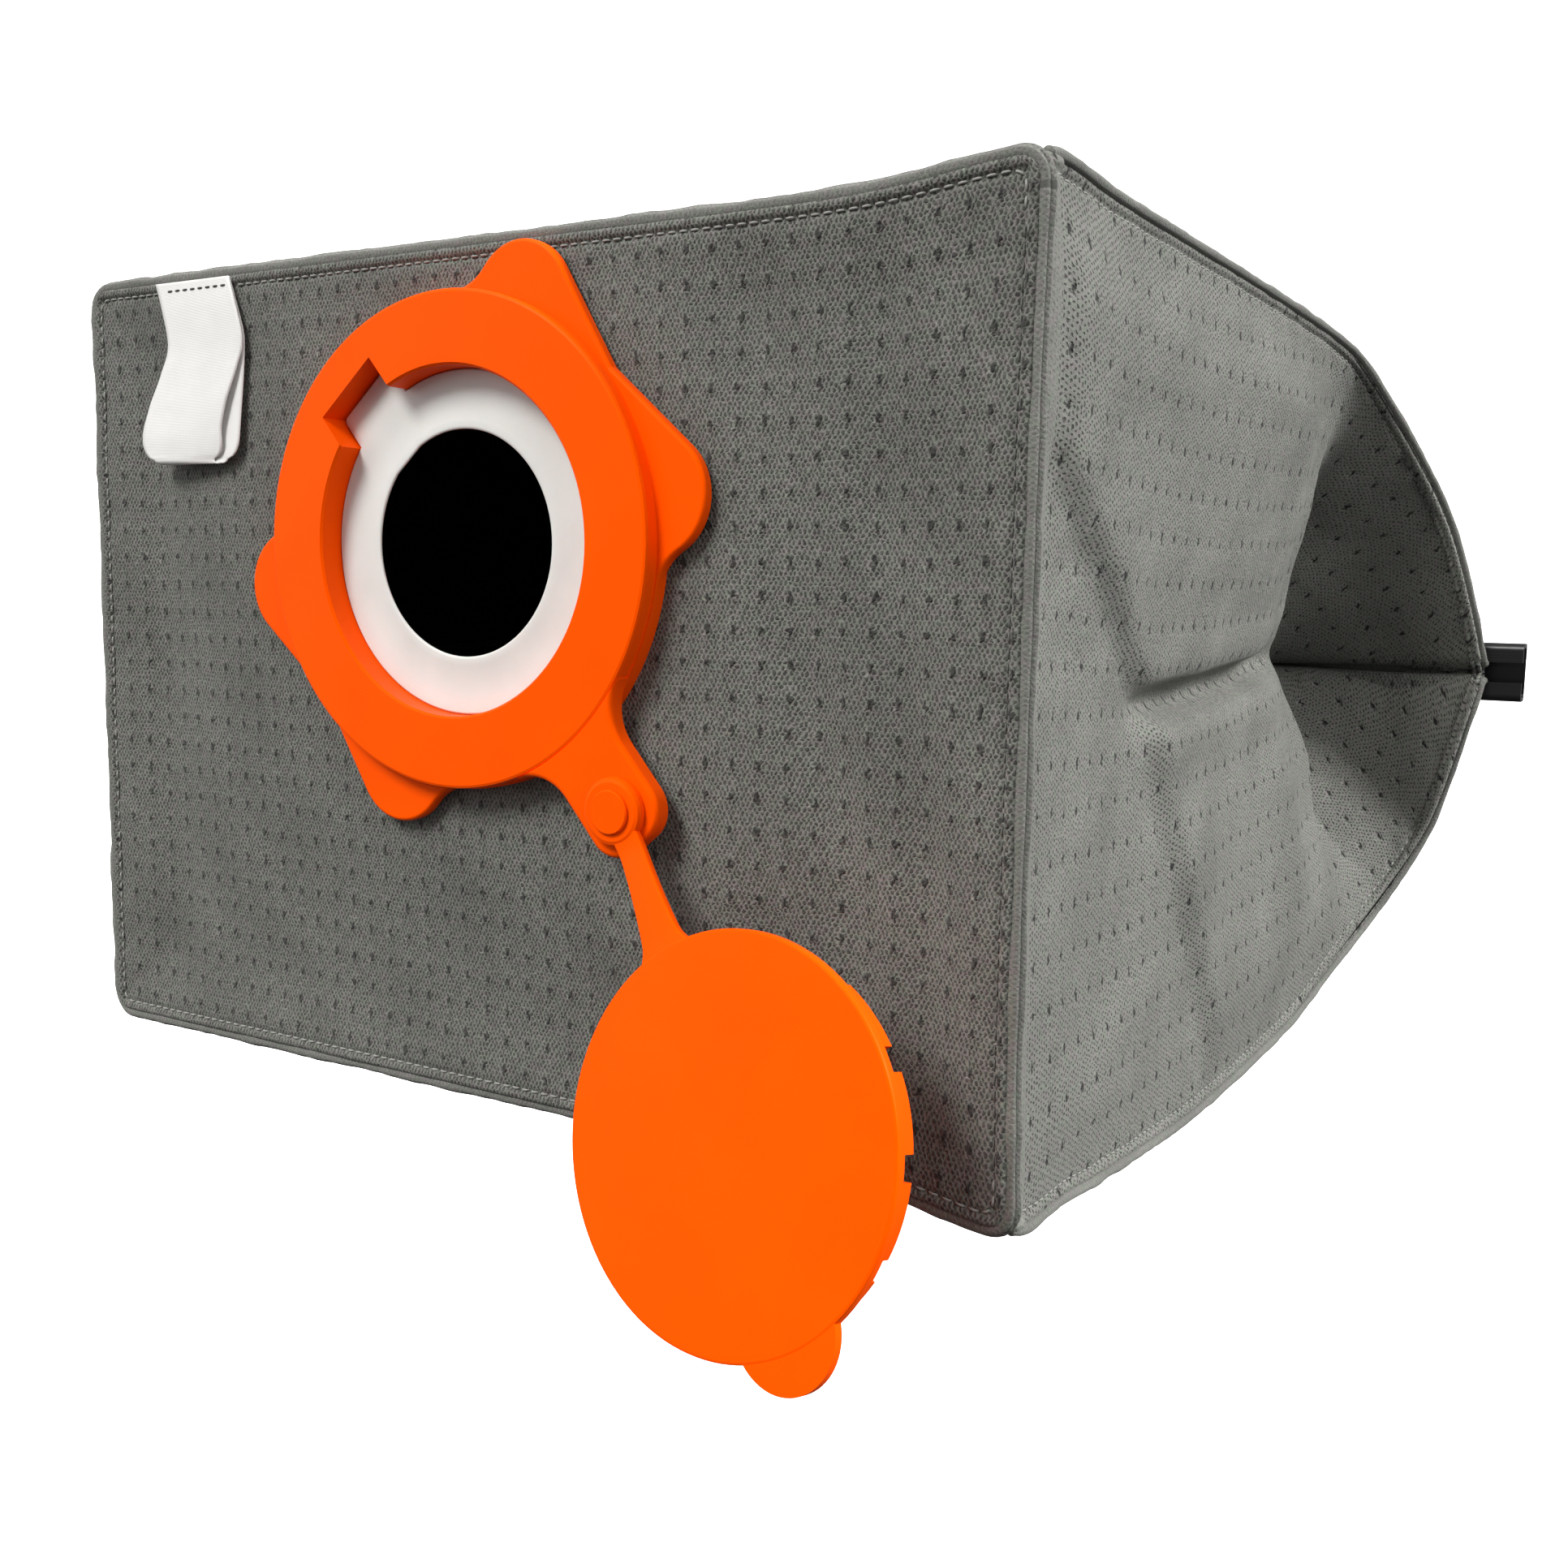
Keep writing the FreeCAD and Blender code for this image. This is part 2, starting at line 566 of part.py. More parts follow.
def make_label():
    """Folded loop of woven tape, open at both sides, with its two layers sewn in together."""
    back = FLANGE_BACK - 0.3
    outer = [V(0, back, z) for z in (LABEL_LOOP[0][0], LABEL_LOOP[-1][0])]
    outer += [V(0, back - 2.2 * LABEL_T - lift, z) for z, lift in reversed(LABEL_LOOP)]
    inner = [V(0, back - LABEL_T, LABEL_LOOP[1][0]), V(0, back - LABEL_T, LABEL_LOOP[-2][0])]
    inner += [V(0, back - 1.2 * LABEL_T - lift, z + 0.3) for z, lift in LABEL_LOOP[-2:0:-1]]
    width = LABEL_X[1] - LABEL_X[0]
    solids = []
    for outline, start, length in ((outer, LABEL_X[0], width), (inner, LABEL_X[0] - 1, width + 2)):
        face = Part.Face(Part.makePolygon(outline + [outline[0]]))
        solid = face.extrude(V(length, 0, 0))
        solid.translate(V(start, 0, 0))
        solids.append(solid)
    export("care_label", solids[0].cut(solids[1]))


os.makedirs("parts", exist_ok=True)
make_cloth()
make_seams()
make_mouth()
make_rail()
make_collar()
make_eyelet()
make_strap()
make_cap()
make_label()
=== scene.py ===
import bpy
import math
import numpy as np
from mathutils import Matrix, Vector


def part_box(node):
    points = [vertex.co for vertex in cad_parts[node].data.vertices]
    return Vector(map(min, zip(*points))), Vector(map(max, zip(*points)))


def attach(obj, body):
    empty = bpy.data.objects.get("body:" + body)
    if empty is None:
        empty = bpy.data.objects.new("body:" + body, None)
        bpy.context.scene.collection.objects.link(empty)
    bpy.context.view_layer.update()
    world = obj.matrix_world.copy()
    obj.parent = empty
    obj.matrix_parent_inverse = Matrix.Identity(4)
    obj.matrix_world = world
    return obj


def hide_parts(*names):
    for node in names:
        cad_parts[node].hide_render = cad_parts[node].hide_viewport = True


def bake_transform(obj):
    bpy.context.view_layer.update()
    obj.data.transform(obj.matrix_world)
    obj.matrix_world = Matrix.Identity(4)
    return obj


# Looks for the reusable filter bag. Shapes are worked out in millimetres and turned into
# metres when a mesh is made. The frame is the CAD model's: origin at the inlet bore's
# centre, -Y out of the bag, +X to the right seen from in front, +Z up.

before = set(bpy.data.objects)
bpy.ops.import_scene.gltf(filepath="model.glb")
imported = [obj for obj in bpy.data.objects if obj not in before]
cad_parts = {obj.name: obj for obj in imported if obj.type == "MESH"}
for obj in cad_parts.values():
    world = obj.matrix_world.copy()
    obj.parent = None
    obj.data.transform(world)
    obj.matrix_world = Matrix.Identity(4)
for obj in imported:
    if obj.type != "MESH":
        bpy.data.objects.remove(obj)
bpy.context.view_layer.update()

MM = 0.001
CX, CZ = 3.5, -36.5                 # centre of the front panel
HALF_W, HALF_H = 156.0, 114.0
FRONT_Y = -1.2                      # outer face of the front cloth
CLOTH = 1.2
LINER_DEPTH, LINER = 1.4, 0.7       # depth of a lining below its cloth's face, and thickness
MOUTH_STACK = 2.7                   # half height of the cloth stack in the rail's slot
SLIT = 0.15                         # from the tucked side's edge to the mouth's middle
TUCK_START, TUCK_FULL = 215.0, 285.0
PANEL_CORNER = 6.0                  # rounding of the front cloth's corners
TAB_X, TAB_Z = 58.0, -68.0          # middle of the collar's hinge tab
STITCH_IN = 3.3                     # stitch line to the seam's edge
STITCH_LONG, STITCH_GAP = 2.5, 0.8
# One stitch, end to end: (share of its length, share of its thickness, height)
STITCH = ((0.0, 0.35, -0.42), (0.16, 0.85, 0.0), (0.5, 1.0, 0.12), (0.84, 0.85, 0.0),
          (1.0, 0.35, -0.42))

# Stations of the right-hand seams: (x beyond the half width, y, z above mid height)
TOP_SEAM = ((0, 0, 114), (2.5, 54, 117), (6.5, 117, 115.5), (12.5, 187, 112), (18, 226, 107),
            (28, 253, 89), (44, 287, 51), (53, 305, 12), (54.5, 310, 2.7), (54.5, 316, 2.7))
LOW_SEAM = ((0, 0, -114), (2, 58, -124), (5.5, 120, -126), (12, 205, -119), (20, 254, -102),
            (29, 287, -84), (41, 303, -57), (52, 307, -14), (54.5, 310, -2.7), (54.5, 316, -2.7))
# How far the lids' middle stands beyond their seams, at the same stations
TOP_CROWN = (0, 4, 7, 7, 5, 3, 2, 1, 0, 0)
LOW_CROWN = (0, 11, 13, 10, 7, 4, 2, 1, 0, 0)
# Right-hand corners of the front, where the seams' layers bunch up: (corner, pull, reach)
BUNCHES = (((159.5, 2.0, 77.5), (0.6, 0.0, 4.6), 30.0),
           ((159.5, 4.0, -150.5), (1.2, 0.0, -5.2), 24.0))
# Upright creases of the front cloth: (place, lean, width, depth)
FRONT_CREASES = ((72, -0.22, 8.5, 4.2), (99, -0.16, 10.0, 2.8), (126, -0.05, 7.5, 2.0),
                 (-128, 0.05, 11.0, 1.4))
# Shallow facets of the side: beyond each line, (run, height above the crease) twice, the
# cloth stands proud by a height reached over a width
FACETS = (((0, 57), (82, 0), 4.2, 11), ((82, 0), (112, -60), 3.6, 13))
GROOVE_START, GROOVE_END = 74.0, 262.0      # where the side's middle crease is a deep groove
STRIP = 7.0                         # flat strip of the side cloth next to the front seam
SIDE_SMOOTHING = 3
NONE = (0, 0, 0)
# Rows across a side panel: (top seam station, low seam station, crease point (x, y, z),
# push of the two upper inner points, push of the two lower inner points)
SIDE_ROWS = (
    (0.0, 0.0, (156.0, 0, 0), (NONE, NONE), (NONE, NONE)),
    (1.45, 1.4, (151.5, 82, -3.5), ((1.6, 0, 0), (1.6, 0, 0)), ((1.6, 0, 0), (1.6, 0, 0))),
    (2.3, 2.25, (149.0, 140, -2.5), ((2.5, 0, 0), (3.2, 0, 0)), ((4.0, 0, 0), (3.0, 0, 0))),
    (3.2, 3.1, (147.0, 207, 1.0), ((2.5, 0, 0), (3.6, 0, 0)), ((6.0, 0, 0), (4.0, 0, 0))),
    (4.0, 4.0, (146.5, 255, 5.5), ((0.5, 0, 0), (1.0, 0, 0)), ((5.6, 7, 0), (5.0, -3, -3))),
    (5.0, 5.0, (136.0, 272, 3.5), ((-14, -1, 0), (-13, -3, 0)), ((-12, -4, 0), (-8, -6, 0))),
    (6.0, 6.0, (130.0, 289, 1.5), ((-9, 0, 0), (-9, 0, 0)), ((-8, 0, 0), (-6, 0, 0))),
    (7.0, 7.0, (127.0, 303, 0.2), ((-3, 0, 0), (-3, 0, 0)), ((-3, 0, 0), (-2, 0, 0))),
    (8.0, 8.0, (126.0, 310, 0.0), (NONE, NONE), (NONE, NONE)),
    (9.0, 9.0, (126.0, 316, 0.0), (NONE, NONE), (NONE, NONE)))

# Care label, top to fold: (height, middle and lift of its front layer, the same of its back)
LABEL_HALF = 16.0
LABEL_ROWS = ((76.8, -106.1, 0.3, -106.1, 0.1), (70, -103.2, 0.8, -103.4, 0.3),
              (58, -99.9, 1.2, -99.8, 0.6), (50, -102.2, 2.2, -100.2, 0.8),
              (40, -106.2, 3.4, -101.0, 1.1), (32, -108.0, 3.8, -101.6, 1.4),
              (24.6, -107.4, 3.4, -102.2, 1.7))

# The cap's pin, the strap's turn from straight down and its tilt away from the bag
PIN = np.array([56.5018, -11.5, -66.1549])
HANG, TILT = math.radians(34.5), math.radians(15)
PIN_TO_CAP, CAP_R = 87.0, 48.4
STRAP_START, STRAP_ROOT = 6.5, 10.5         # the strap's end inside the eyelet, and its hinge
STRAP_BEND = 3.5                            # half length of the rounded bend at the hinge
STRAP_T, STRAP_EDGE = 2.2, 0.55             # thickness, and rounding of its edges
DOWN_STRAP = np.array([math.sin(HANG), 0, -math.cos(HANG)])
ACROSS_STRAP = np.array([math.cos(HANG), 0, math.sin(HANG)])
TILTED = DOWN_STRAP * math.cos(TILT) + np.array([0, -math.sin(TILT), 0])

# Seal: its radius, then its key's reach, half width, corner rounding and turn from +X
GASKET_R, KEY_TOP, KEY_HALF, KEY_CORNER = 45.6, 54.0, 11.1, 1.6
KEY_TURN = math.radians(130.5)

# The four corners of a rectangle, anticlockwise: (x side, y side, start of its arc in degrees)
CORNERS = ((1, 1, 0), (-1, 1, 90), (-1, -1, 180), (1, -1, 270))


# ---- numbers ----

def unit(a):
    a = np.asarray(a, float)
    return a / np.maximum(np.linalg.norm(a, axis=-1, keepdims=True), 1e-9)


def smoothstep(low, high, x):
    t = np.clip((np.asarray(x, float) - low) / (high - low), 0, 1)
    return t * t * (3 - 2 * t)


def through(stations, t):
    """Smooth curve without overshoot through a table of stations, read at station numbers t."""
    points = np.asarray(stations, float)
    if points.ndim == 1:
        points = points[:, None]
    steps = np.diff(points, axis=0)
    slope = np.zeros_like(points)
    total = steps[1:] + steps[:-1]
    same = steps[1:] * steps[:-1] > 0
    slope[1:-1] = np.where(same, 2 * steps[1:] * steps[:-1] / np.where(same, total, 1), 0)
    slope[0] = steps[0]
    slope[-1] = steps[-1]
    t = np.clip(np.asarray(t, float), 0, len(points) - 1)
    i = np.minimum(t.astype(int), len(points) - 2)
    f = (t - i)[:, None]
    return (points[i] * (1 + 2 * f) * (1 - f) ** 2 + slope[i] * f * (1 - f) ** 2
            + points[i + 1] * f * f * (3 - 2 * f) + slope[i + 1] * f * f * (f - 1))


def value_noise(u, v, period, seed):
    """Smooth random heights from -1 to 1 over a surface."""
    size = 64
    lattice = np.random.default_rng(seed).uniform(-1, 1, (size, size))
    a = np.asarray(u, float) / period
    b = np.asarray(v, float) / period
    i = np.floor(a).astype(int)
    j = np.floor(b).astype(int)
    fa = smoothstep(0, 1, a - i)
    fb = smoothstep(0, 1, b - j)
    i0, i1, j0, j1 = i % size, (i + 1) % size, j % size, (j + 1) % size
    return ((lattice[i0, j0] * (1 - fa) + lattice[i1, j0] * fa) * (1 - fb)
            + (lattice[i0, j1] * (1 - fa) + lattice[i1, j1] * fa) * fb)


def spaced(length, step, fine, fine_step):
    """Distances from 0 to length, closer together within fine of both ends."""
    edge = np.arange(0, fine, fine_step)
    count = max(2, int(round((length - 2 * fine) / step)))
    middle = np.linspace(fine, length - fine, count + 1)
    return np.concatenate([edge, middle, length - edge[::-1]])


def lengths(points):
    """Cumulative length along the first axis."""
    step = np.linalg.norm(np.diff(points, axis=0), axis=-1)
    return np.concatenate([np.zeros((1,) + step.shape[1:]), np.cumsum(step, axis=0)])


def read_at(places, run, values):
    """Rows of values, known at the distances run, read at other distances."""
    return np.stack([np.interp(places, run, column) for column in values.T], axis=-1)


def even_rows(curve, last, step):
    """Station numbers from 0 to last, evenly spaced along a curve of station numbers."""
    dense = np.linspace(0, last, 2000)
    run = lengths(curve(dense))
    return np.interp(np.linspace(0, run[-1], int(run[-1] / step) + 1), run, dense)


def normals_of(grid):
    along = np.gradient(grid, axis=0)
    across = np.gradient(grid, axis=1)
    return unit(np.cross(along, across))


def smoothed(grid, times):
    """Round off a grid's folds, with its border held."""
    out = grid.copy()
    for _ in range(times):
        out[1:-1, 1:-1] += 0.24 * (out[2:, 1:-1] + out[:-2, 1:-1] + out[1:-1, 2:]
                                   + out[1:-1, :-2] - 4 * out[1:-1, 1:-1])
    return out


# ---- meshes ----

def bunched(points):
    """Points pulled out a little near the corners where the cloth's layers bunch up."""
    points = np.array(points, float)
    for corner, pull, reach in BUNCHES:
        away = np.linalg.norm(points - np.array(corner), axis=1)
        points += np.exp(-(away / reach) ** 2)[:, None] * np.array(pull)
    return points


def make_object(name, points, faces, uv=None):
    """Smooth mesh from points in millimetres, with one texture coordinate to each point."""
    mesh = bpy.data.meshes.new(name)
    mesh.from_pydata((bunched(points) * MM).tolist(), [], [tuple(f) for f in faces])
    if uv is not None:
        layer = mesh.uv_layers.new(name="UVMap")
        index = np.zeros(len(mesh.loops), int)
        mesh.loops.foreach_get("vertex_index", index)
        coords = np.asarray(uv, float)[index] * MM
        layer.data.foreach_set("uv", coords.astype(np.float32).ravel())
    mesh.polygons.foreach_set("use_smooth", [True] * len(mesh.polygons))
    mesh.validate()
    mesh.update()
    obj = bpy.data.objects.new(name, mesh)
    bpy.context.scene.collection.objects.link(obj)
    return obj


def grid_faces(rows, cols):
    i, j = np.meshgrid(np.arange(rows - 1), np.arange(cols - 1), indexing="ij")
    a = (i * cols + j).ravel()
    return np.stack([a, a + cols, a + cols + 1, a + 1], axis=1)


def tube_faces(rows, cols, closed=False):
    """Faces of a swept section: joined end to end when closed, else shut by two flat ends."""
    faces = []
    for i in range(rows if closed else rows - 1):
        here, there = i * cols, (i + 1) % rows * cols
        for j in range(cols):
            k = (j + 1) % cols
            faces.append((here + j, here + k, there + k, there + j))
    if not closed:
        faces.append(tuple(range(cols - 1, -1, -1)))
        faces.append(tuple(range((rows - 1) * cols, rows * cols)))
    return faces


def round_hole(points, faces, cut, snap, hole):
    """Faces beyond the radius cut; their points within the radius snap move onto the hole."""
    middle = points[faces].mean(axis=1)
    kept = faces[np.hypot(middle[:, 0], middle[:, 2]) > cut]
    rim = np.unique(kept)
    rim = rim[np.hypot(points[rim, 0], points[rim, 2]) < snap]
    reach = np.hypot(points[rim, 0], points[rim, 2])
    points[rim, 0] *= hole / reach
    points[rim, 2] *= hole / reach
    return kept


def shell(name, outer, inner, faces, uv):
    """Closed thin solid: an outer skin, an inner skin, and walls along their open edges."""
    count = len(outer)
    edges = {}
    for face in faces.tolist():
        for a, b in zip(face, face[1:] + face[:1]):
            key = (min(a, b), max(a, b))
            edges[key] = None if key in edges else (a, b)
    rims = [pair for pair in edges.values() if pair]
    walls = [(b, a, a + count, b + count) for a, b in rims]
    every = faces.tolist() + (faces[:, ::-1] + count).tolist() + walls
    points = np.concatenate([outer, inner])
    coords = np.concatenate([uv, uv])
    used = np.unique(np.concatenate([np.ravel(f) for f in every]))
    renumber = np.full(len(points), -1)
    renumber[used] = np.arange(len(used))
    every = [tuple(renumber[list(f)]) for f in every]
    return make_object(name, points[used], every, coords[used])


def grid_shell(name, grid, outward, depth, thick, uv, turn):
    """Shell from a grid of surface points, from one depth below it to another."""
    faces = grid_faces(*grid.shape[:2])
    if turn:
        faces = faces[:, ::-1]
    outer = (grid - outward * depth).reshape(-1, 3)
    inner = (grid - outward * (depth + thick)).reshape(-1, 3)
    return shell(name, outer, inner, faces, uv.reshape(-1, 2))


def sweep(name, path, out, section, closed=False):
    """Sweep a closed section, (sideways, outward) points to each path point, along a path."""
    if closed:
        ahead = np.roll(path, -1, axis=0) - np.roll(path, 1, axis=0)
    else:
        ahead = np.gradient(path, axis=0)
    tangent = unit(ahead)
    out = unit(out - tangent * np.sum(out * tangent, axis=1, keepdims=True))
    side = np.cross(tangent, out)
    points = path[:, None] + side[:, None] * section[..., :1] + out[:, None] * section[..., 1:]
    around = lengths(np.concatenate([section[0], section[0][:1]]))[:-1]
    uv = np.stack(np.broadcast_arrays(lengths(path)[:, None], around[None, :]), axis=-1)
    faces = tube_faces(*section.shape[:2], closed)
    return make_object(name, points.reshape(-1, 3), faces, uv.reshape(-1, 2))


# ---- materials ----

class Nodes:
    """Short way to write a material's node tree."""

    def __init__(self, name):
        self.material = bpy.data.materials.new(name)
        self.material.use_nodes = True
        self.tree = self.material.node_tree
        self.shader = self.tree.nodes["Principled BSDF"]

    def add(self, kind, inputs=None, **settings):
        node = self.tree.nodes.new(kind)
        for key, value in settings.items():
            setattr(node, key, value)
        for key, value in (inputs or {}).items():
            self.put(node.inputs[key], value)
        return node

    def put(self, socket, value):
        if isinstance(value, bpy.types.NodeSocket):
            self.tree.links.new(value, socket)
        else:
            socket.default_value = value

    def math(self, operation, a, b):
        return self.add("ShaderNodeMath", {0: a, 1: b}, operation=operation).outputs[0]

    def times(self, first, *others):
        for other in others:
            first = self.math("MULTIPLY", first, other)
        return first

    def plus(self, first, *others):
        for other in others:
            first = self.math("ADD", first, other)
        return first

    def vector(self, operation, a, b=(0, 0, 0), output=0):
        return self.add("ShaderNodeVectorMath", {0: a, 1: b},
                        operation=operation).outputs[output]

    def uv_mm(self):
        uv = self.add("ShaderNodeUVMap", uv_map="UVMap").outputs[0]
        return self.vector("MULTIPLY", uv, (1000, 1000, 1000))

    def place_mm(self):
        place = self.add("ShaderNodeTexCoord").outputs["Object"]
        return self.vector("MULTIPLY", place, (1000, 1000, 1000))

    def noise(self, where, scale, detail=2.0, roughness=0.5, stretch=None, output=0):
        if stretch:
            where = self.vector("MULTIPLY", where, stretch)
        return self.add("ShaderNodeTexNoise", {"Vector": where, "Scale": scale, "Detail": detail,
                                               "Roughness": roughness}).outputs[output]

    def wave(self, where, scale, distortion, direction):
        return self.add("ShaderNodeTexWave", {"Vector": where, "Scale": scale, "Detail": 1.0,
                                              "Distortion": distortion},
                        bands_direction=direction).outputs[1]

    def remap(self, value, a, b, c=0.0, d=1.0, smooth=False):
        """Value taken from the range a to b into the range c to d."""
        node = self.add("ShaderNodeMapRange", {0: value, 1: a, 2: b, 3: c, 4: d},
                        interpolation_type="SMOOTHSTEP" if smooth else "LINEAR")
        return node.outputs[0]

    def vary(self, noise, low, high):
        """A noise's usual range taken to the range low to high."""
        return self.remap(noise, 0.3, 0.7, low, high)

    def mix(self, share, a, b):
        node = self.add("ShaderNodeMix", data_type="RGBA")
        self.put(node.inputs[0], share)
        self.put(node.inputs[6], a)
        self.put(node.inputs[7], b)
        return node.outputs[2]

    def scaled(self, colour, factor):
        return self.vector("MULTIPLY", colour, self.add(
            "ShaderNodeCombineXYZ", {0: factor, 1: factor, 2: factor}).outputs[0])

    def shaken(self, where, cloud, reach):
        """A place moved by a colour noise, by up to half of reach either way."""
        centred = self.vector("SUBTRACT", cloud, (0.5, 0.5, 0))
        return self.vector("ADD", where, self.vector("MULTIPLY", centred, reach))

    def pits(self, where, pitch, shift, radius, soft, tall=1.0):
        """1 in pits on a rectangular grid, 0 between them; tall pits are longer upright."""
        moved = self.vector("ADD", where, (shift[0], shift[1], 0))
        cell = self.vector("DIVIDE", moved, (pitch[0], pitch[1], 1))
        local = self.vector("SUBTRACT", self.vector("FRACTION", cell), (0.5, 0.5, 0))
        flat = self.vector("MULTIPLY", local, (pitch[0], pitch[1] / tall, 0))
        away = self.vector("LENGTH", flat, output=1)
        return self.remap(away, radius, radius + soft, 1.0, 0.0, smooth=True)

    def bump(self, height_mm, strength=1.0):
        node = self.add("ShaderNodeBump", {"Height": height_mm, "Strength": strength,
                                           "Distance": MM})
        self.put(self.shader.inputs["Normal"], node.outputs[0])

    def set(self, **values):
        names = {"color": "Base Color", "roughness": "Roughness",
                 "specular": "Specular IOR Level", "tint": "Specular Tint",
                 "sheen": "Sheen Weight", "sheen_roughness": "Sheen Roughness",
                 "sss": "Subsurface Weight", "sss_scale": "Subsurface Scale",
                 "glow": "Emission Color", "glow_strength": "Emission Strength"}
        for key, value in values.items():
            self.put(self.shader.inputs[names[key]], value)


def cloth_material(name, colour, slots=True, contrast=1.0, pit_pitch=(1.3, 2.4),
                   slot_pitch=(7.3, 8.2), slot_painted_shade=0.22, plain_to=None):
    """Point-bonded nonwoven: a staggered grid of pits, stray fibres, embossed slots.

    contrast weakens the pits, slot_painted_shade is how dark a slot's painted shade is beside the
    cloth, and the cloth is plainer up to plain_to along its first texture coordinate. Each slot also
    gets a painted highlight, a bright dot on one rim.
    """
    nodes = Nodes(name)
    place = nodes.uv_mm()
    drift = nodes.noise(place, 0.09, 2.0, output=1)
    wobble = nodes.noise(place, 0.75, 2.0, output=1)
    moved = nodes.shaken(nodes.shaken(place, drift, (1.8, 1.8, 0)), wobble, (1.3, 1.9, 0))
    pit_radius, pit_rim = 0.2, 0.34
    tall = 1.5 if pit_pitch[1] > pit_pitch[0] else 0.8
    half_pitch = (pit_pitch[0] / 2, pit_pitch[1] / 2)
    pits = nodes.math("MAXIMUM", *(nodes.pits(moved, pit_pitch, shift, pit_radius, pit_rim, tall)
                                   for shift in ((0, 0), half_pitch)))
    depth = nodes.vary(nodes.noise(place, 0.45, 2.0), 0.7, 1.15)
    pits = nodes.times(pits, depth, contrast)
    if plain_to:
        across = nodes.add("ShaderNodeSeparateXYZ", {0: place}).outputs[0]
        pits = nodes.times(pits, nodes.remap(across, plain_to, plain_to + 1.0, 0.3, 1.0))
    fibre = nodes.noise(place, 1.3, 5.0, 0.7)
    slanted = nodes.add("ShaderNodeVectorRotate", {"Vector": place, "Angle": -0.6},
                        rotation_type="Z_AXIS").outputs[0]
    strands = nodes.noise(slanted, 0.5, 4.0, 0.65, stretch=(5.5, 0.8, 1))
    crossing = nodes.noise(place, 0.6, 3.0, 0.6, stretch=(4.5, 1.0, 1))
    glint = nodes.times(nodes.remap(strands, 0.56, 0.68), nodes.remap(fibre, 0.45, 0.62))
    patchy = nodes.noise(place, 0.022, 3.0)
    streak = nodes.noise(slanted, 0.035, 3.0, stretch=(1.0, 0.4, 1))
    tone = nodes.times(nodes.vary(fibre, 0.72, 1.22),
                       nodes.vary(crossing, 0.86, 1.14),
                       nodes.vary(patchy, 0.93, 1.06),
                       nodes.remap(streak, 0.35, 0.65, 0.86, 1.10),
                       nodes.remap(pits, 0, 1, 1.0 + 0.2 * contrast, 0.2))
    tone = nodes.plus(tone, nodes.times(glint, 0.55))
    height = nodes.plus(nodes.times(fibre, 0.22), nodes.times(pits, -0.3),
                        nodes.times(glint, 0.12))
    if slots:
        slot_shift, speck_shift = (3.1, 4.2), (4.2, 5.5)
        shaky = nodes.shaken(moved, wobble, (1.2, 1.2, 0))
        slot = nodes.pits(shaky, slot_pitch, slot_shift, 0.3, 0.6, 1.9)
        hollow = nodes.pits(moved, slot_pitch, slot_shift, 0.3, 2.4, 1.3)
        # speck is a painted highlight: a bright dot painted on one rim of each slot.
        speck = nodes.pits(shaky, slot_pitch, speck_shift, 0.05, 0.5, 1.3)
        # The slots are darkened in the colour as painted shade; their dents in the height are real
        # bumps.
        tone = nodes.times(tone, nodes.remap(slot, 0, 1, 1.0, slot_painted_shade))
        tone = nodes.plus(tone, nodes.times(speck, 0.5))
        height = nodes.plus(height, nodes.times(slot, -0.35), nodes.times(hollow, -0.35))
    green = (colour[0] * 0.96, colour[1] * 1.03, colour[2], 1)
    plum = (colour[0] * 1.08, colour[1] * 0.97, colour[2] * 1.1, 1)
    blotch = nodes.remap(nodes.noise(place, 0.35, 3.0, 0.7), 0.38, 0.62)
    nodes.set(color=nodes.scaled(nodes.mix(blotch, green, plum), tone),
              roughness=nodes.vary(fibre, 0.62, 0.8),
              sheen=0.12, sheen_roughness=0.5, specular=0.35)
    nodes.bump(height)
    return nodes.material


def liner_material(name):
    """Dark fleece with shallow quilted cells."""
    nodes = Nodes(name)
    place = nodes.uv_mm()
    fibre = nodes.noise(place, 0.8, 5.0, 0.7)
    cells = nodes.pits(place, (3.4, 3.4), (0, 0), 0.5, 0.9)
    tone = nodes.times(nodes.vary(fibre, 0.6, 1.5), nodes.remap(cells, 0, 1, 1.0, 0.5))
    nodes.set(color=nodes.scaled((0.03, 0.031, 0.034), tone),
              roughness=nodes.remap(fibre, 0, 1, 0.75, 0.95), sheen=0.1, specular=0.3)
    nodes.bump(nodes.plus(fibre, nodes.times(cells, -0.5)), 0.8)
    return nodes.material


def plastic_material(name):
    """Moulded plastic: faint flow marks in the colour, fine grain, rubbed patches."""
    nodes = Nodes(name)
    place = nodes.place_mm()
    flow = nodes.noise(place, 0.035, 3.0)
    speck = nodes.noise(place, 2.2, 3.0, 0.6)
    rub = nodes.noise(place, 0.12, 4.0, 0.6)
    marks = nodes.plus(nodes.times(flow, 0.8), nodes.times(speck, 0.2))
    wear = nodes.plus(nodes.times(rub, 0.7), nodes.times(speck, 0.3))
    nodes.set(color=nodes.mix(nodes.remap(marks, 0.38, 0.62), (0.98, 0.084, 0.0, 1),
                              (1.0, 0.090, 0.0, 1)),
              roughness=nodes.remap(wear, 0.35, 0.65, 0.36, 0.46),
              specular=0.12, tint=(1.0, 0.30, 0.0, 1))
    nodes.bump(nodes.plus(nodes.times(speck, 0.01), nodes.times(rub, 0.03)))
    return nodes.material


def rail_material(name):
    """Extruded black plastic with faint die lines along its length."""
    nodes = Nodes(name)
    place = nodes.place_mm()
    lines = nodes.noise(place, 1.0, 4.0, 0.6, stretch=(0.004, 2.0, 2.0))
    dust = nodes.remap(nodes.noise(place, 0.9, 4.0, 0.6), 0.66, 0.8)
    nodes.set(color=nodes.mix(dust, (0.008, 0.008, 0.009, 1), (0.03, 0.03, 0.03, 1)),
              roughness=nodes.vary(lines, 0.24, 0.42), specular=0.5)
    nodes.bump(nodes.times(lines, 0.03))
    return nodes.material


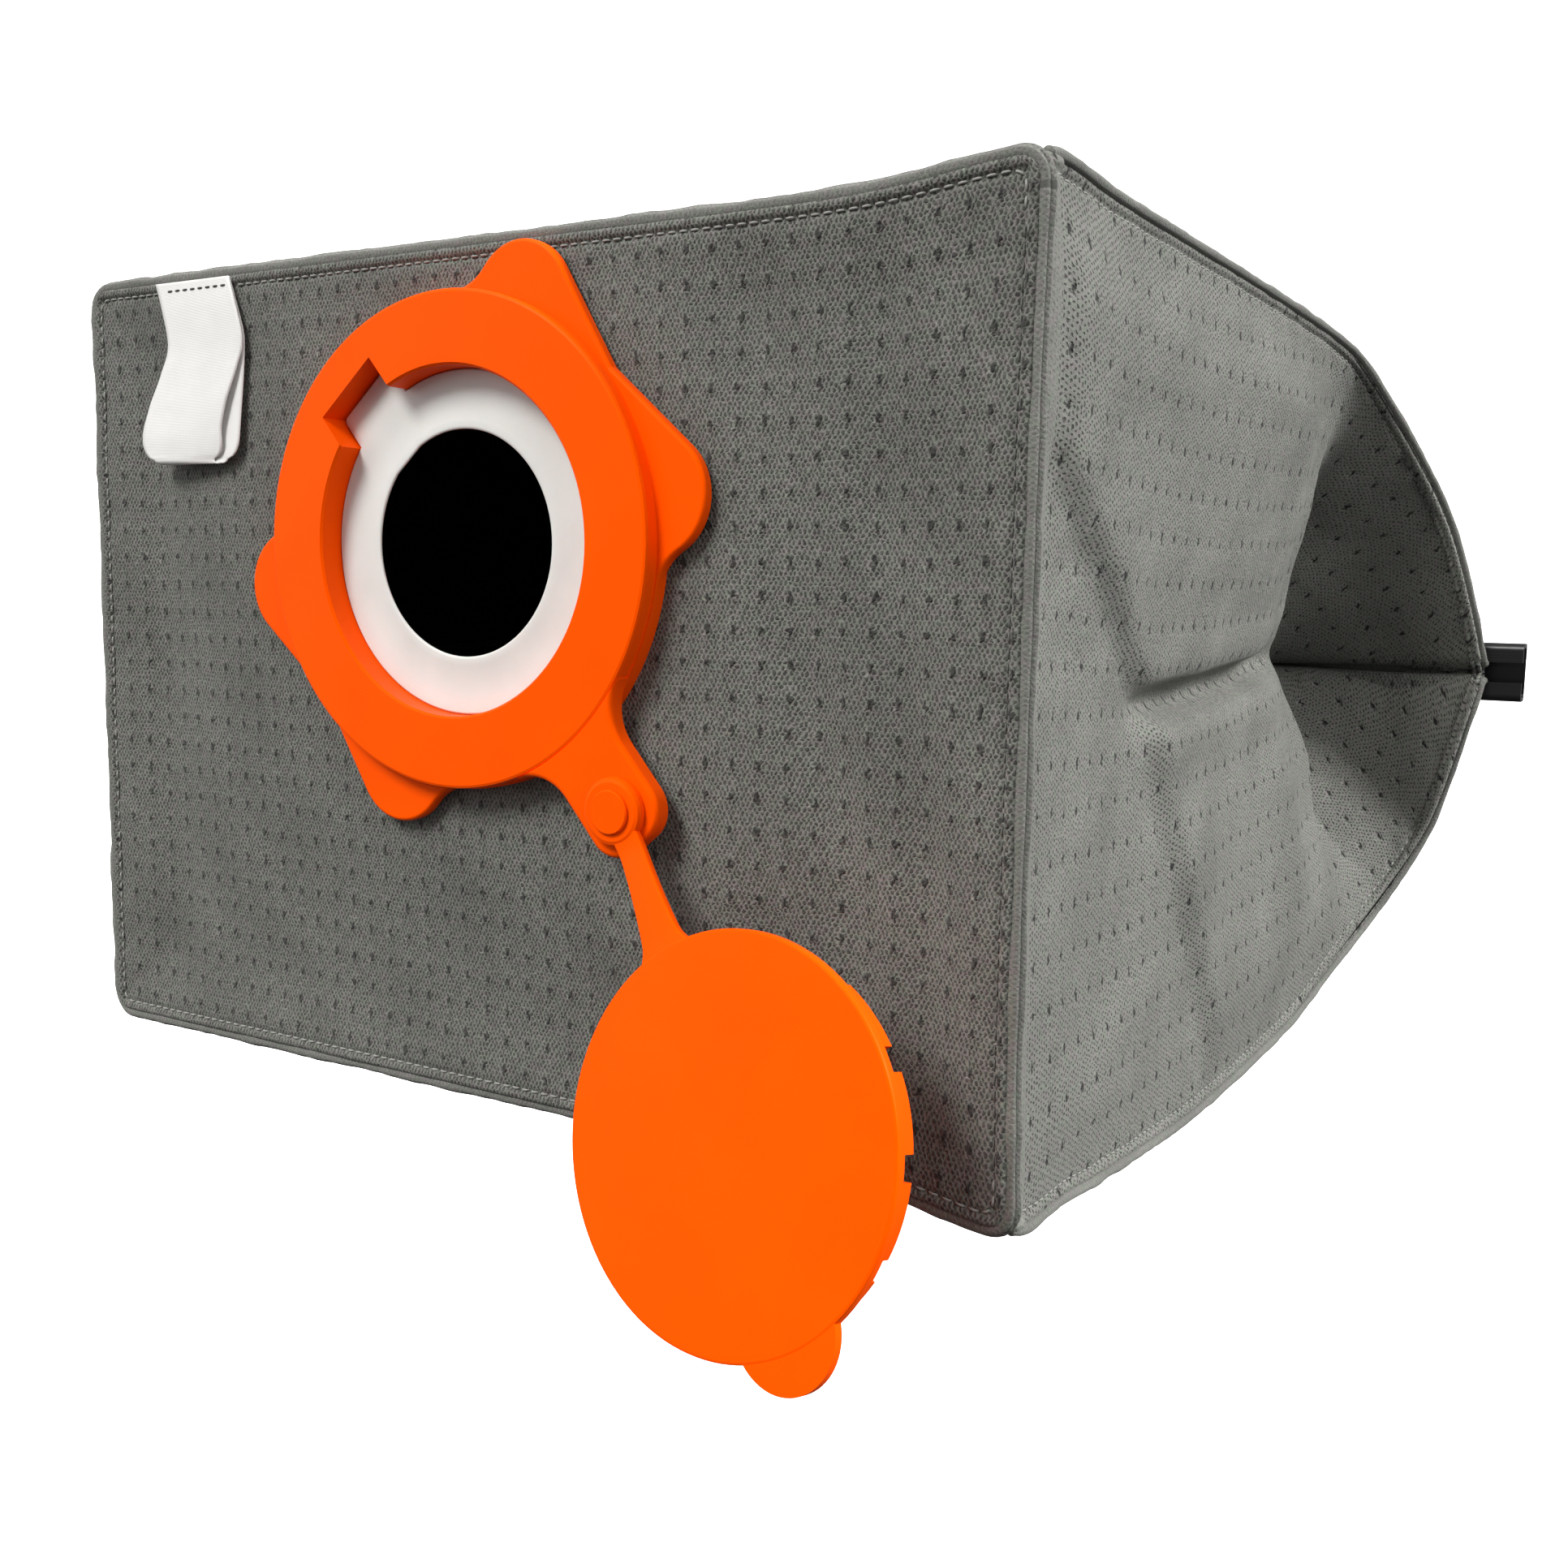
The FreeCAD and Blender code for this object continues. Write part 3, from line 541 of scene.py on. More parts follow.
def rubber_material(name):
    """Soft white rubber, a little cloudy, with a fine matt grain."""
    nodes = Nodes(name)
    place = nodes.place_mm()
    cloud = nodes.remap(nodes.noise(place, 0.06, 3.0), 0.35, 0.65)
    speck = nodes.noise(place, 1.6, 3.0)
    nodes.set(color=nodes.mix(cloud, (0.65, 0.65, 0.63, 1), (0.69, 0.69, 0.67, 1)),
              roughness=nodes.vary(speck, 0.42, 0.58), sss=0.12, sss_scale=0.002,
              specular=0.4)
    nodes.bump(nodes.times(speck, 0.02))
    return nodes.material


def tape_material(name):
    """Woven satin tape: fine ribs across and a soft gloss."""
    nodes = Nodes(name)
    place = nodes.uv_mm()
    ribs = nodes.wave(place, 0.9, 0.4, "Y")
    warp = nodes.wave(place, 0.7, 0.3, "X")
    tone = nodes.times(nodes.remap(ribs, 0, 1, 0.93, 1.0),
                       nodes.vary(nodes.noise(place, 0.12, 3.0), 0.95, 1.0))
    nodes.set(color=nodes.scaled((0.79, 0.785, 0.775), tone),
              roughness=nodes.remap(warp, 0, 1, 0.36, 0.5), sheen=0.15, specular=0.45)
    nodes.bump(nodes.plus(nodes.times(ribs, 0.03), nodes.times(warp, 0.02)))
    return nodes.material


def thread_material(name, colour):
    """Twisted sewing thread."""
    nodes = Nodes(name)
    twist = nodes.wave(nodes.uv_mm(), 1.6, 1.0, "DIAGONAL")
    nodes.set(color=nodes.scaled(colour, nodes.remap(twist, 0, 1, 0.7, 1.1)),
              roughness=nodes.remap(twist, 0, 1, 0.45, 0.6), sheen=0.1)
    nodes.bump(nodes.times(twist, 0.06))
    return nodes.material


def white_material(name, noise, low, high, glow):
    """Plain white paint that gives off an even light of its own, for the floor and backdrop."""
    nodes = Nodes(name)
    mottle = nodes.noise(nodes.place_mm(), *noise)
    nodes.set(color=nodes.mix(mottle, (low, low, low, 1), (high, high, high, 1)), roughness=0.9,
              glow=(1.0, 1.0, 1.0, 1), glow_strength=glow)
    return nodes.material


CLOTH_MAT = cloth_material("outer_cloth", (0.150, 0.155, 0.132), contrast=0.85)
# The side's slots are painted near black as painted shade.
SIDE_MAT = cloth_material("side_cloth", (0.150, 0.155, 0.132), contrast=0.95,
                          pit_pitch=(2.6, 1.5), slot_pitch=(9.8, 11.5), slot_painted_shade=0.03,
                          plain_to=STRIP)
WELT_MAT = cloth_material("welt_cloth", (0.160, 0.165, 0.142), slots=False, contrast=0.25)
LINER_MAT = liner_material("liner_cloth")
ORANGE_MAT = plastic_material("orange_plastic")
RAIL_MAT = rail_material("black_plastic")
WHITE_MAT = rubber_material("white_rubber")
TAPE_MAT = tape_material("label_tape")
LIGHT_THREAD = thread_material("light_thread", (0.34, 0.34, 0.32))
DULL_THREAD = thread_material("dull_thread", (0.12, 0.122, 0.11))
DARK_THREAD = thread_material("dark_thread", (0.035, 0.037, 0.034))


def paint(obj, material):
    obj.data.materials.clear()
    obj.data.materials.append(material)


def dress(obj, material, node=None, body="bag"):
    """Give a piece its material and the body it rides, and hide the CAD node it stands for."""
    paint(obj, material)
    if body:
        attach(obj, body)
    if node:
        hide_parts(node)
    return obj


# ---- cloth ----

def seam_points(seam, t, side):
    s = through(seam, t)
    return np.stack([CX + side * (HALF_W + s[:, 0]), s[:, 1], CZ + s[:, 2]], axis=1)


def lid_normals(path, up):
    """Directions square to a seam in its own upright plane, out of the lid beside it."""
    tangent = unit(np.gradient(path, axis=0))
    return unit(np.stack([0 * path[:, 0], -tangent[:, 2], tangent[:, 1]], axis=1)) * up


def seam_dents(grid, outward, away, along, seed, drop=1.1):
    """A sewn edge: the stitches pull a groove, and the cloth puffs between them and the edge."""
    groove = 0.55 * np.exp(-((away - STITCH_IN) / 0.75) ** 2)
    puff = 0.5 * np.sin(np.clip(away / STITCH_IN, 0, 1) * math.pi)
    drag = 0.28 * np.exp(-((away - STITCH_IN - 3) / 4.0) ** 2) * np.sin(
        along / 4.1 + 3 * value_noise(along, away * 0.2, 17, seed))
    rounding = 1.3
    inside = (rounding - np.minimum(away, rounding)) / rounding
    edge = drop * (1 - np.sqrt(np.clip(1 - inside ** 2, 0, 1)))
    return grid + outward * (puff - groove + drag - edge)[..., None]


def front_cloth():
    """Flat in front of the collar and its tab, softly dented and creased elsewhere."""
    u = spaced(2 * HALF_W, 1.7, 6.3, 0.45) - HALF_W
    w = spaced(2 * HALF_H, 1.7, 6.3, 0.45) - HALF_H
    x, z = np.meshgrid(u, w, indexing="ij")
    away = np.minimum(HALF_W - np.abs(x), HALF_H - np.abs(z))
    along = np.where(HALF_W - np.abs(x) < HALF_H - np.abs(z), z, x)
    a = np.clip((np.abs(x) - HALF_W + PANEL_CORNER) / PANEL_CORNER, 0, 1)
    b = np.clip((np.abs(z) - HALF_H + PANEL_CORNER) / PANEL_CORNER, 0, 1)
    in_corner = (a > 0) & (b > 0)
    round_x = HALF_W - PANEL_CORNER + PANEL_CORNER * a * np.sqrt(1 - b * b / 2)
    round_z = HALF_H - PANEL_CORNER + PANEL_CORNER * b * np.sqrt(1 - a * a / 2)
    flat_x = np.where(in_corner, np.sign(x) * round_x, x)
    flat_z = np.where(in_corner, np.sign(z) * round_z, z)
    grid = np.stack([flat_x + CX, np.full_like(x, FRONT_Y), flat_z + CZ], axis=-1)
    from_collar = np.hypot(grid[..., 0], grid[..., 2])
    from_tab = np.hypot(grid[..., 0] - TAB_X, grid[..., 2] - TAB_Z)
    calm = (smoothstep(80, 118, from_collar) * smoothstep(24, 60, from_tab)
            * smoothstep(1, 26, away))
    dent = 0.5 + 0.5 * (0.55 * value_noise(x, z, 74, 3) + 0.3 * value_noise(x + 0.5 * z, z, 38, 5)
                        + 0.15 * value_noise(x, z, 19, 8))
    fold = np.zeros_like(x)
    for place, lean, width, depth in FRONT_CREASES:
        fold += depth * np.exp(-((x - place - lean * z + 5 * np.sin(z / 40)) / width) ** 2)
    grid[..., 1] += calm * (4.4 * dent + fold)
    outward = np.zeros_like(grid)
    outward[..., 1] = -1
    grid = seam_dents(grid, outward, away, along, 11)
    outward = normals_of(grid)
    outward *= -np.sign(outward[..., 1:2])
    points = grid.reshape(-1, 3)
    kept = round_hole(points, grid_faces(*x.shape), cut=52, snap=54.2, hole=51.5)
    inner = points - outward.reshape(-1, 3) * CLOTH
    uv = np.stack([x, z], axis=-1).reshape(-1, 2)
    return shell("front_cloth", points, inner, kept[:, ::-1], uv)


def front_lining():
    """Lies behind the front cloth: close at the collar, deeper beyond it, clear of the dents."""
    u = np.linspace(-HALF_W + 6, HALF_W - 6, 90)
    w = np.linspace(-HALF_H + 6, HALF_H - 6, 66)
    x, z = np.meshgrid(u, w, indexing="ij")
    points = np.stack([x + CX, np.full_like(x, 0.45), z + CZ], axis=-1).reshape(-1, 3)
    kept = round_hole(points, grid_faces(*x.shape), cut=53, snap=57, hole=52)
    points[:, 1] += 8.5 * smoothstep(72, 100, np.hypot(points[:, 0], points[:, 2]))
    return shell("front_lining", points, points + np.array([0, 0.3, 0]), kept[:, ::-1],
                 np.stack([x, z], axis=-1).reshape(-1, 2))


def lid_grid(seam, crown, up, seed):
    """Surface of the top or bottom cloth, with its outward directions and texture places."""
    rows = even_rows(lambda t: seam_points(seam, t, 1), 9, 1.9)
    right = seam_points(seam, rows, 1)
    rise = through(crown, rows)[:, 0]
    half = right[:, 0] - CX
    u = spaced(2 * HALF_W, 2.0, 6.3, 0.6) / HALF_W - 1
    grid = np.stack([CX + u[None] * half[:, None], np.repeat(right[:, 1:2], len(u), axis=1),
                     right[:, 2:3] + up * rise[:, None] * (1 - u[None] ** 2)], axis=-1)
    x = grid[..., 0]
    run = lengths(right)[:, None] + 0 * x
    away = half[:, None] * (1 - np.abs(u[None]))
    calm = smoothstep(2, 40, away) * smoothstep(0, 25, run) * smoothstep(0, 45, run[-1] - run)
    waves = (0.6 * value_noise(x, run, 62, seed) + 0.3 * value_noise(x, run, 31, seed + 1)
             + 0.2 * value_noise(x * 1.8, run * 0.4, 23, seed + 2))
    outward = np.repeat(lid_normals(right, up)[:, None], len(u), axis=1)
    grid = grid + outward * (calm * (4.2 * waves - 1.0))[..., None]
    grid = seam_dents(grid, outward, away, run, seed + 4, 0.5)
    return grid, outward, np.stack([x, run], axis=-1)


def tuck_shift(path, up):
    """How far the side cloth's edge lies inside the lid, where it tucks between the lids."""
    share = np.clip((path[:, 1] - TUCK_START) / (TUCK_FULL - TUCK_START), 0, 1)
    return -lid_normals(path, up) * (share * (MOUTH_STACK - SLIT))[:, None]


def side_edges(rows):
    """Where the right-hand side cloth meets the top and the low seam, at row numbers."""
    numbers = range(len(SIDE_ROWS))
    top = np.interp(rows, numbers, [row[0] for row in SIDE_ROWS])
    low = np.interp(rows, numbers, [row[1] for row in SIDE_ROWS])
    return seam_points(TOP_SEAM, top, 1), seam_points(LOW_SEAM, low, 1)


def side_sheet():
    """Right-hand side cloth before its dents: seven control points to a row, rounded off."""
    last = len(SIDE_ROWS) - 1
    tops, lows = side_edges(np.arange(last + 1))
    control = []
    for (_, _, crease, upper, lower), top, low in zip(SIDE_ROWS, tops, lows):
        mid = np.array(crease, float) + np.array([CX, 0, CZ])
        control.append([top, top + (mid - top) / 3 + upper[0], top + (mid - top) * 2 / 3 + upper[1],
                        mid, mid + (low - mid) / 3 + lower[0], mid + (low - mid) * 2 / 3 + lower[1],
                        low])
    control = np.array(control)
    rows = even_rows(lambda r: side_edges(r)[0], last, 1.7)
    i = np.minimum(rows.astype(int), last - 1)
    f = (rows - i)[:, None, None]
    line = control[i] * (1 - f) + control[i + 1] * f
    tops, lows = side_edges(rows)
    line[:, 0] = tops + tuck_shift(tops, 1)
    line[:, 6] = lows + tuck_shift(lows, -1)
    # Columns from a seam to the crease, closer together near the seam
    half = np.interp(np.linspace(0, 1, 67), [0, 0.2, 1], [0, 0.06, 1])
    places = np.concatenate([half, 2 - half[-2::-1]]) * 3
    j = np.minimum(places.astype(int), 5)
    g = (places - j)[None, :, None]
    return smoothed(line[:, j] * (1 - g) + line[:, j + 1] * g, SIDE_SMOOTHING)


def side_normals(grid):
    outward = normals_of(grid)
    return outward * np.sign(np.sum(outward * np.array([1, -0.5, 0]), axis=-1, keepdims=True))


def fold_run(grid):
    """Distance from the front at which each line of a side panel turns into the tuck.

    The fold leans: it is 226 mm deep at the top seam and 255 mm at the low one.
    """
    run = lengths(grid)
    at_fold = np.argmin(np.abs(grid[..., 1] - np.linspace(226, 255, grid.shape[1])[None]), axis=0)
    return run[at_fold, np.arange(grid.shape[1])][None]


def facet_lift(run, above, away):
    """How far the side's facets stand proud, from the run and the height above the crease."""
    lift = np.zeros_like(run)
    for (run_a, above_a), (run_b, above_b), height, width in FACETS:
        step = np.array([run_b - run_a, above_b - above_a], float)
        step /= np.linalg.norm(step)
        past = (run - run_a) * -step[1] + (above - above_a) * step[0]
        same_half = smoothstep(0, 10, above * (1 if above_a + above_b > 0 else -1))
        lift += height * smoothstep(0, width, past) * same_half * smoothstep(2, 30, away)
    return lift


def side_grid(side, seed):
    """Surface of a side cloth, its outward directions, texture places and distances to seams."""
    grid = side_sheet()
    outward = side_normals(grid)
    run = lengths(grid)
    across = np.swapaxes(lengths(np.swapaxes(grid, 0, 1)), 0, 1)
    centre = grid.shape[1] // 2
    above = across[:, centre:centre + 1] - across
    away = np.minimum(across, across[:, -1:] - across)
    wall = smoothstep(0, 18, run) * smoothstep(0, 30, fold_run(grid) - run)
    grid = grid + outward * (wall * facet_lift(run, above, away))[..., None]
    deep = smoothstep(GROOVE_START, GROOVE_START + 30, run) * smoothstep(0, 25, GROOVE_END - run)
    groove = -4.5 * np.exp(-(above / 4.5) ** 2) + 2.2 * np.exp(-((above - 13) / 9) ** 2)
    groove += 3.4 * np.exp(-((above + 12) / 9) ** 2)
    strip = 1.3 * (1 - smoothstep(STRIP - 0.6, STRIP + 1.0, run))
    grid = grid + outward * (deep * groove + strip * smoothstep(0, 2, run))[..., None]
    calm = (smoothstep(3, 26, away) * smoothstep(0, 14, np.abs(above)) * smoothstep(2, 30, run)
            * smoothstep(0, 60, run[-1:] - run))
    waves = (0.55 * value_noise(run, across, 56, seed) + 0.35 * value_noise(run, across, 27, seed + 1)
             + 0.15 * value_noise(run * 0.6 + across, across * 1.5, 14, seed + 2))
    grid = grid + outward * (calm * 2.6 * waves)[..., None]
    grid = seam_dents(grid, outward, away, run, seed + 5, 0.5)
    outward = side_normals(grid)
    uv = np.stack([run, -above], axis=-1)
    if side < 0:
        mirror = np.array([-1, 1, 1])
        grid = grid * mirror + np.array([2 * CX, 0, 0])
        outward = outward * mirror
    return grid, outward, uv, away


def panel(word, material, grid, outward, uv, turn, lined):
    """A panel's cloth, and the lining under its first share of length, half as dense."""
    outer = grid_shell(word + "_cloth", grid, outward, 0, CLOTH, uv, turn)
    keep = (slice(4, int(len(grid) * lined), 2), slice(8, -8, 2))
    inner = grid_shell(word + "_lining", grid[keep], outward[keep], LINER_DEPTH, LINER, uv[keep],
                       turn)
    return {word: dress(outer, material, word + "_panel"),
            word + "_lining": dress(inner, LINER_MAT, word + "_liner")}


# ---- seams and thread ----

def lip_section(wide, tall, pinch):
    """A folded edge: an oval, with a groove along its outer side if it is pinched."""
    angle = np.linspace(0, 2 * math.pi, 22, endpoint=False)
    notch = pinch * np.exp(-((angle - math.pi / 2) / 0.2) ** 2)
    return np.stack([wide * np.cos(angle), tall * np.sin(angle) * (1 - notch)], axis=1)


def wavy_section(section, path, seed, size=0.12):
    """A swept section that swells and shrinks a little along its path."""
    run = lengths(path)
    swell = 1 + size * value_noise(run, run * 0, 9, seed) + 0.6 * size * value_noise(
        run, run * 0, 3.3, seed + 1)
    return section[None] * swell[:, None, None]


def rounded_loop(inset, corner, step):
    """Points and outward directions round the front panel's edge."""
    half = np.array([HALF_W - inset - corner, 0, HALF_H - inset - corner])
    centres = [np.array([CX, 0, CZ]) + half * (side_x, 0, side_z) for side_x, side_z, _ in CORNERS]
    points, outs = [], []
    for (_, _, start), here, there in zip(CORNERS, centres, centres[1:] + centres[:1]):
        for angle in np.radians(np.linspace(start, start + 90, 9)):
            out = np.array([math.cos(angle), 0, math.sin(angle)])
            points.append(here + corner * out)
            outs.append(out)
        count = int(math.dist(here, there) / step)
        for k in range(1, count):
            points.append(here + (there - here) * k / count + corner * out)
            outs.append(out)
    return np.array(points), np.array(outs)


def long_seam_edge(name, seam, up, side, seed):
    """Narrow folded edge along a seam from the front to the mouth."""
    rows = even_rows(lambda t: seam_points(seam, t, side), 8.4, 1.6)
    path = seam_points(seam, rows, side)
    out = unit(lid_normals(path, up) + np.array([side, 0, 0]))
    path = path + out * 0.5 * smoothstep(0, 6, lengths(path))[:, None]
    path[:, 1] += 1.5 * (1 - smoothstep(0, 12, lengths(path)))
    return sweep(name, path, out, wavy_section(lip_section(1.2, 1.35, 0.0), path, seed))


def at_distance(grid, outward, away, distance, low_half):
    """Points and normals a set distance from one seam, one to each row of a side panel."""
    centre = grid.shape[1] // 2
    points, normals = [], []
    for row, normal, reach in zip(grid, outward, away):
        if low_half:
            row, normal, reach = row[::-1], normal[::-1], reach[::-1]
        points.append(read_at(distance, reach[:centre], row[:centre]))
        normals.append(read_at(distance, reach[:centre], normal[:centre]))
    return np.array(points), unit(normals)


def stitches(name, paths, material, radius=0.3):
    """Sewing thread: one short rounded stitch after another along each (path, normal)."""
    share, size, lift = np.array(STITCH).T
    sides, margin = 7, 0.6
    angle = 2 * math.pi * np.arange(sides) / sides
    one = tube_faces(len(STITCH), sides)
    points, faces, uv = [], [], []
    for path, normal in paths:
        run = lengths(path)
        start = margin
        while start + STITCH_LONG < run[-1] - margin:
            place = start + STITCH_LONG * share
            mid = read_at(place, run, path)
            up = unit(read_at(place, run, normal))
            across = unit(np.cross(unit(mid[-1] - mid[0])[None], up))
            high = lift[:, None] + radius * size[:, None] * np.sin(angle)
            wide = radius * 1.1 * size[:, None] * np.cos(angle)
            base = len(points)
            points.extend((mid[:, None] + up[:, None] * high[..., None]
                           + across[:, None] * wide[..., None]).reshape(-1, 3))
            uv.extend((run_at, radius * turn) for run_at in place for turn in angle)
            faces.extend(tuple(base + corner for corner in face) for face in one)
            start += STITCH_LONG + STITCH_GAP
    return dress(make_object(name, points, faces, uv), material)


def front_threads():
    """Stitches round the front, dark where they cross the label and pale at three sides."""
    path, _ = rounded_loop(STITCH_IN, 3.5, 1.2)
    on_label = (np.abs(path[:, 0] - LABEL_ROWS[0][1] - 0.6) < LABEL_HALF) & (path[:, 2] > 0)
    path[:, 1] = FRONT_Y + 0.15 - 1.35 * on_label
    pale = (path[:, 0] < CX - HALF_W + 12) | (np.abs(path[:, 2] - CZ) > HALF_H - 12)
    kinds = np.where(on_label, "label", np.where(pale, "pale", "dull"))
    first = int(np.argmax(pale & ~np.roll(pale, 1)))
    path = np.roll(path, -first, axis=0)
    kinds = np.roll(kinds, -first)
    runs = np.split(np.arange(len(path)), np.flatnonzero(kinds[1:] != kinds[:-1]) + 1)
    face = np.repeat(np.array([[0.0, -1.0, 0.0]]), len(path), axis=0)
    threads = {}
    for kind, thread, radius in (("pale", LIGHT_THREAD, 0.3), ("dull", DULL_THREAD, 0.2),
                                 ("label", DARK_THREAD, 0.3)):
        lines = [(path[run], face[run]) for run in runs if kinds[run[0]] == kind]
        threads[kind] = stitches(f"front_{kind}_stitches", lines, thread, radius)
    return threads


def folded_hem():
    """The mouth's hem inside the clamp rail: an oval of soft layers, flat above and below."""
    low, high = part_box("mouth_hem")
    hem_y, hem_z = (low.y + high.y) / 2 / MM, (low.z + high.z) / 2 / MM
    count = 180
    path = np.stack([np.linspace(low.x / MM + 0.5, high.x / MM - 0.5, count),
                     np.full(count, hem_y), np.full(count, hem_z)], axis=1)
    angle = np.linspace(0, 2 * math.pi, 64, endpoint=False)
    layer = 0.93 + 0.07 * np.abs(np.sin(2.0 * angle + 0.5))
    tall = np.copysign(np.abs(np.cos(angle)) ** 0.6, np.cos(angle))
    section = np.stack([5.9 * np.sin(angle) * layer, 2.3 * tall * layer], axis=1)
    piece = sweep("folded_hem", path, np.repeat([[0.0, 1.0, 0.0]], count, axis=0),
                  wavy_section(section, path, 83, 0.03))
    return dress(piece, WELT_MAT, "mouth_hem")


# ---- label, strap and seal ----

def care_label():
    """A folded loop of tape, blank, that curls off the cloth towards the bottom."""
    across = np.linspace(0, 1, 25)
    down = np.linspace(0, 1, 60)
    drop, share = np.meshgrid(down, across, indexing="ij")
    rows = through(LABEL_ROWS, down * (len(LABEL_ROWS) - 1))
    height, front_x, front_lift, back_x, back_lift = (column[:, None] for column in rows.T)
    z = np.repeat(height, len(across), axis=1)
    ripple = 0.4 * np.sin(drop * 6.5 + share * 1.6) * smoothstep(0.1, 0.5, drop)
    curl = 1 + 0.9 * (0.5 - share) * smoothstep(0.3, 1.0, drop)
    corner = 5.5
    near_fold = np.clip((corner - (z - z[-1])) / corner, 0, 1)
    inset = (share - 0.5) * 2 * corner * (1 - np.sqrt(1 - near_fold ** 2)) * 0.8
    spread = 2 * (share - 0.5) * LABEL_HALF - inset
    ahead = np.stack([front_x + spread, FRONT_Y - 0.7 - front_lift * curl - ripple, z], axis=-1)
    behind = np.stack([back_x + spread, FRONT_Y - 0.3 - back_lift - 0.3 * ripple, z], axis=-1)
    fold = []
    for angle in math.pi * np.arange(1, 8) / 8:
        turned = (1 - math.cos(angle)) / 2
        edge = ahead[-1] * (1 - turned) + behind[-1] * turned
        edge[:, 2] -= 1.4 * math.sin(angle)
        fold.append(edge)
    tape = np.concatenate([ahead, np.array(fold), behind[::-1]])
    outward = normals_of(tape)
    outward *= -np.sign(outward[20, 12, 1])
    uv = np.stack([np.repeat(across[None] * 33, len(tape), axis=0), lengths(tape)], axis=-1)
    piece = grid_shell("care_label_tape", tape, outward, 0, 0.22, uv, False)
    return dress(piece, TAPE_MAT, "care_label")


def flexible_strap():
    """Leaves the eyelet's rim, bends outward at its root and flares into the cap."""
    reach = np.linspace(STRAP_START, PIN_TO_CAP - CAP_R + 3.2, 46)
    past = reach - STRAP_ROOT
    beyond = np.where(past < -STRAP_BEND, 0,
                      np.where(past > STRAP_BEND, past, (past + STRAP_BEND) ** 2 / (4 * STRAP_BEND)))
    centre = PIN + DOWN_STRAP * (reach - beyond)[:, None] + TILTED * beyond[:, None]
    along = unit(np.gradient(centre, axis=0))
    outer = unit(np.cross(ACROSS_STRAP[None], along))
    outer *= -np.sign(outer[:, 1:2])
    half_w = (3.9 + 2.45 * np.clip((reach - 9) / 29, 0, 1) ** 2
              + 3.5 * np.clip((reach - 34) / 7, 0, 1) ** 2.5)
    points = []
    for middle, half, out in zip(centre, half_w, outer):
        for side_x, side_y, start in CORNERS:
            for angle in np.radians(np.linspace(start, start + 90, 5)):
                wide = side_x * (half - STRAP_EDGE) + STRAP_EDGE * math.cos(angle)
                thick = side_y * (STRAP_T / 2 - STRAP_EDGE) + STRAP_EDGE * math.sin(angle)
                points.append(middle + ACROSS_STRAP * wide + out * thick)
    faces = tube_faces(len(centre), len(points) // len(centre))
    strap = make_object("flexible_strap", points, faces)
    dress(strap, ORANGE_MAT, "cap_strap", body=None)
    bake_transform(strap)


def gasket_outline():
    """Radius and bearing round the seal's edge: a circle with a rounded key."""
    key_side = math.asin(KEY_HALF / GASKET_R)
    around = np.linspace(key_side, 2 * math.pi - key_side, 150)
    outline = [(GASKET_R * math.cos(a), GASKET_R * math.sin(a)) for a in around]
    flank = np.linspace(GASKET_R, KEY_TOP - KEY_CORNER, 6)[1:]
    outline += [(v, -KEY_HALF) for v in flank]
    arc = np.linspace(0, math.pi / 2, 6)[1:]
    for sign, angles in ((-1, arc), (1, math.pi / 2 - arc)):
        outline += [(KEY_TOP - KEY_CORNER * (1 - math.sin(a)),
                     sign * (KEY_HALF - KEY_CORNER * (1 - math.cos(a)))) for a in angles]
    outline += [(v, KEY_HALF) for v in np.linspace(KEY_TOP - KEY_CORNER, GASKET_R, 6)[1:-1]]
    across, up = np.array(outline).T
    return np.hypot(across, up), np.arctan2(up, across) + KEY_TURN


def soft_gasket():
    """A soft white sheet with a thin lip round its hole and a key at its upper left."""
    radii, bearings = gasket_outline()
    points = []
    for edge, bearing in zip(radii, bearings):
        profile = ((34.0, 0.6), (31.3, -1.6), (30.3, -2.2), (30.0, -2.6), (30.2, -2.9),
                   (30.8, -3.0), (32.5, -2.8), (36.0, -2.5), (40.0, -2.55), (43.0, -2.9),
                   (45.0, -3.0), (max(edge - 0.5, 45.05), -3.0), (edge, -2.6), (edge, -1.3),
                   (GASKET_R - 0.1, -1.25), (GASKET_R - 0.2, 0.6))
        points += [(r * math.cos(bearing), y, r * math.sin(bearing)) for r, y in profile]
    gasket = make_object("soft_gasket", points, tube_faces(len(radii), len(profile), closed=True))
    dress(gasket, WHITE_MAT, "seal_gasket")


# ---- the pieces ----

cloth = {"front": dress(front_cloth(), CLOTH_MAT, "front_panel")}
for word, seam, crown, up, seed in (("top", TOP_SEAM, TOP_CROWN, 1, 21),
                                    ("bottom", LOW_SEAM, LOW_CROWN, -1, 31)):
    grid, outward, uv = lid_grid(seam, crown, up, seed)
    cloth.update(panel(word, CLOTH_MAT, grid, outward, uv, up > 0, lined=0.93))
side_lines = {}
for word, side, seed in (("right_side", 1, 41), ("left_side", -1, 51)):
    grid, outward, uv, away = side_grid(side, seed)
    cloth.update(panel(word, SIDE_MAT, grid, outward, uv, side > 0, lined=0.9))
    lines = [at_distance(grid, outward, away, STITCH_IN + 0.4, low_half)
             for low_half in (False, True)]
    side_lines[word] = [(line[3:-14], normal[3:-14]) for line, normal in lines]
cloth["front_lining"] = dress(front_lining(), LINER_MAT, "front_liner")

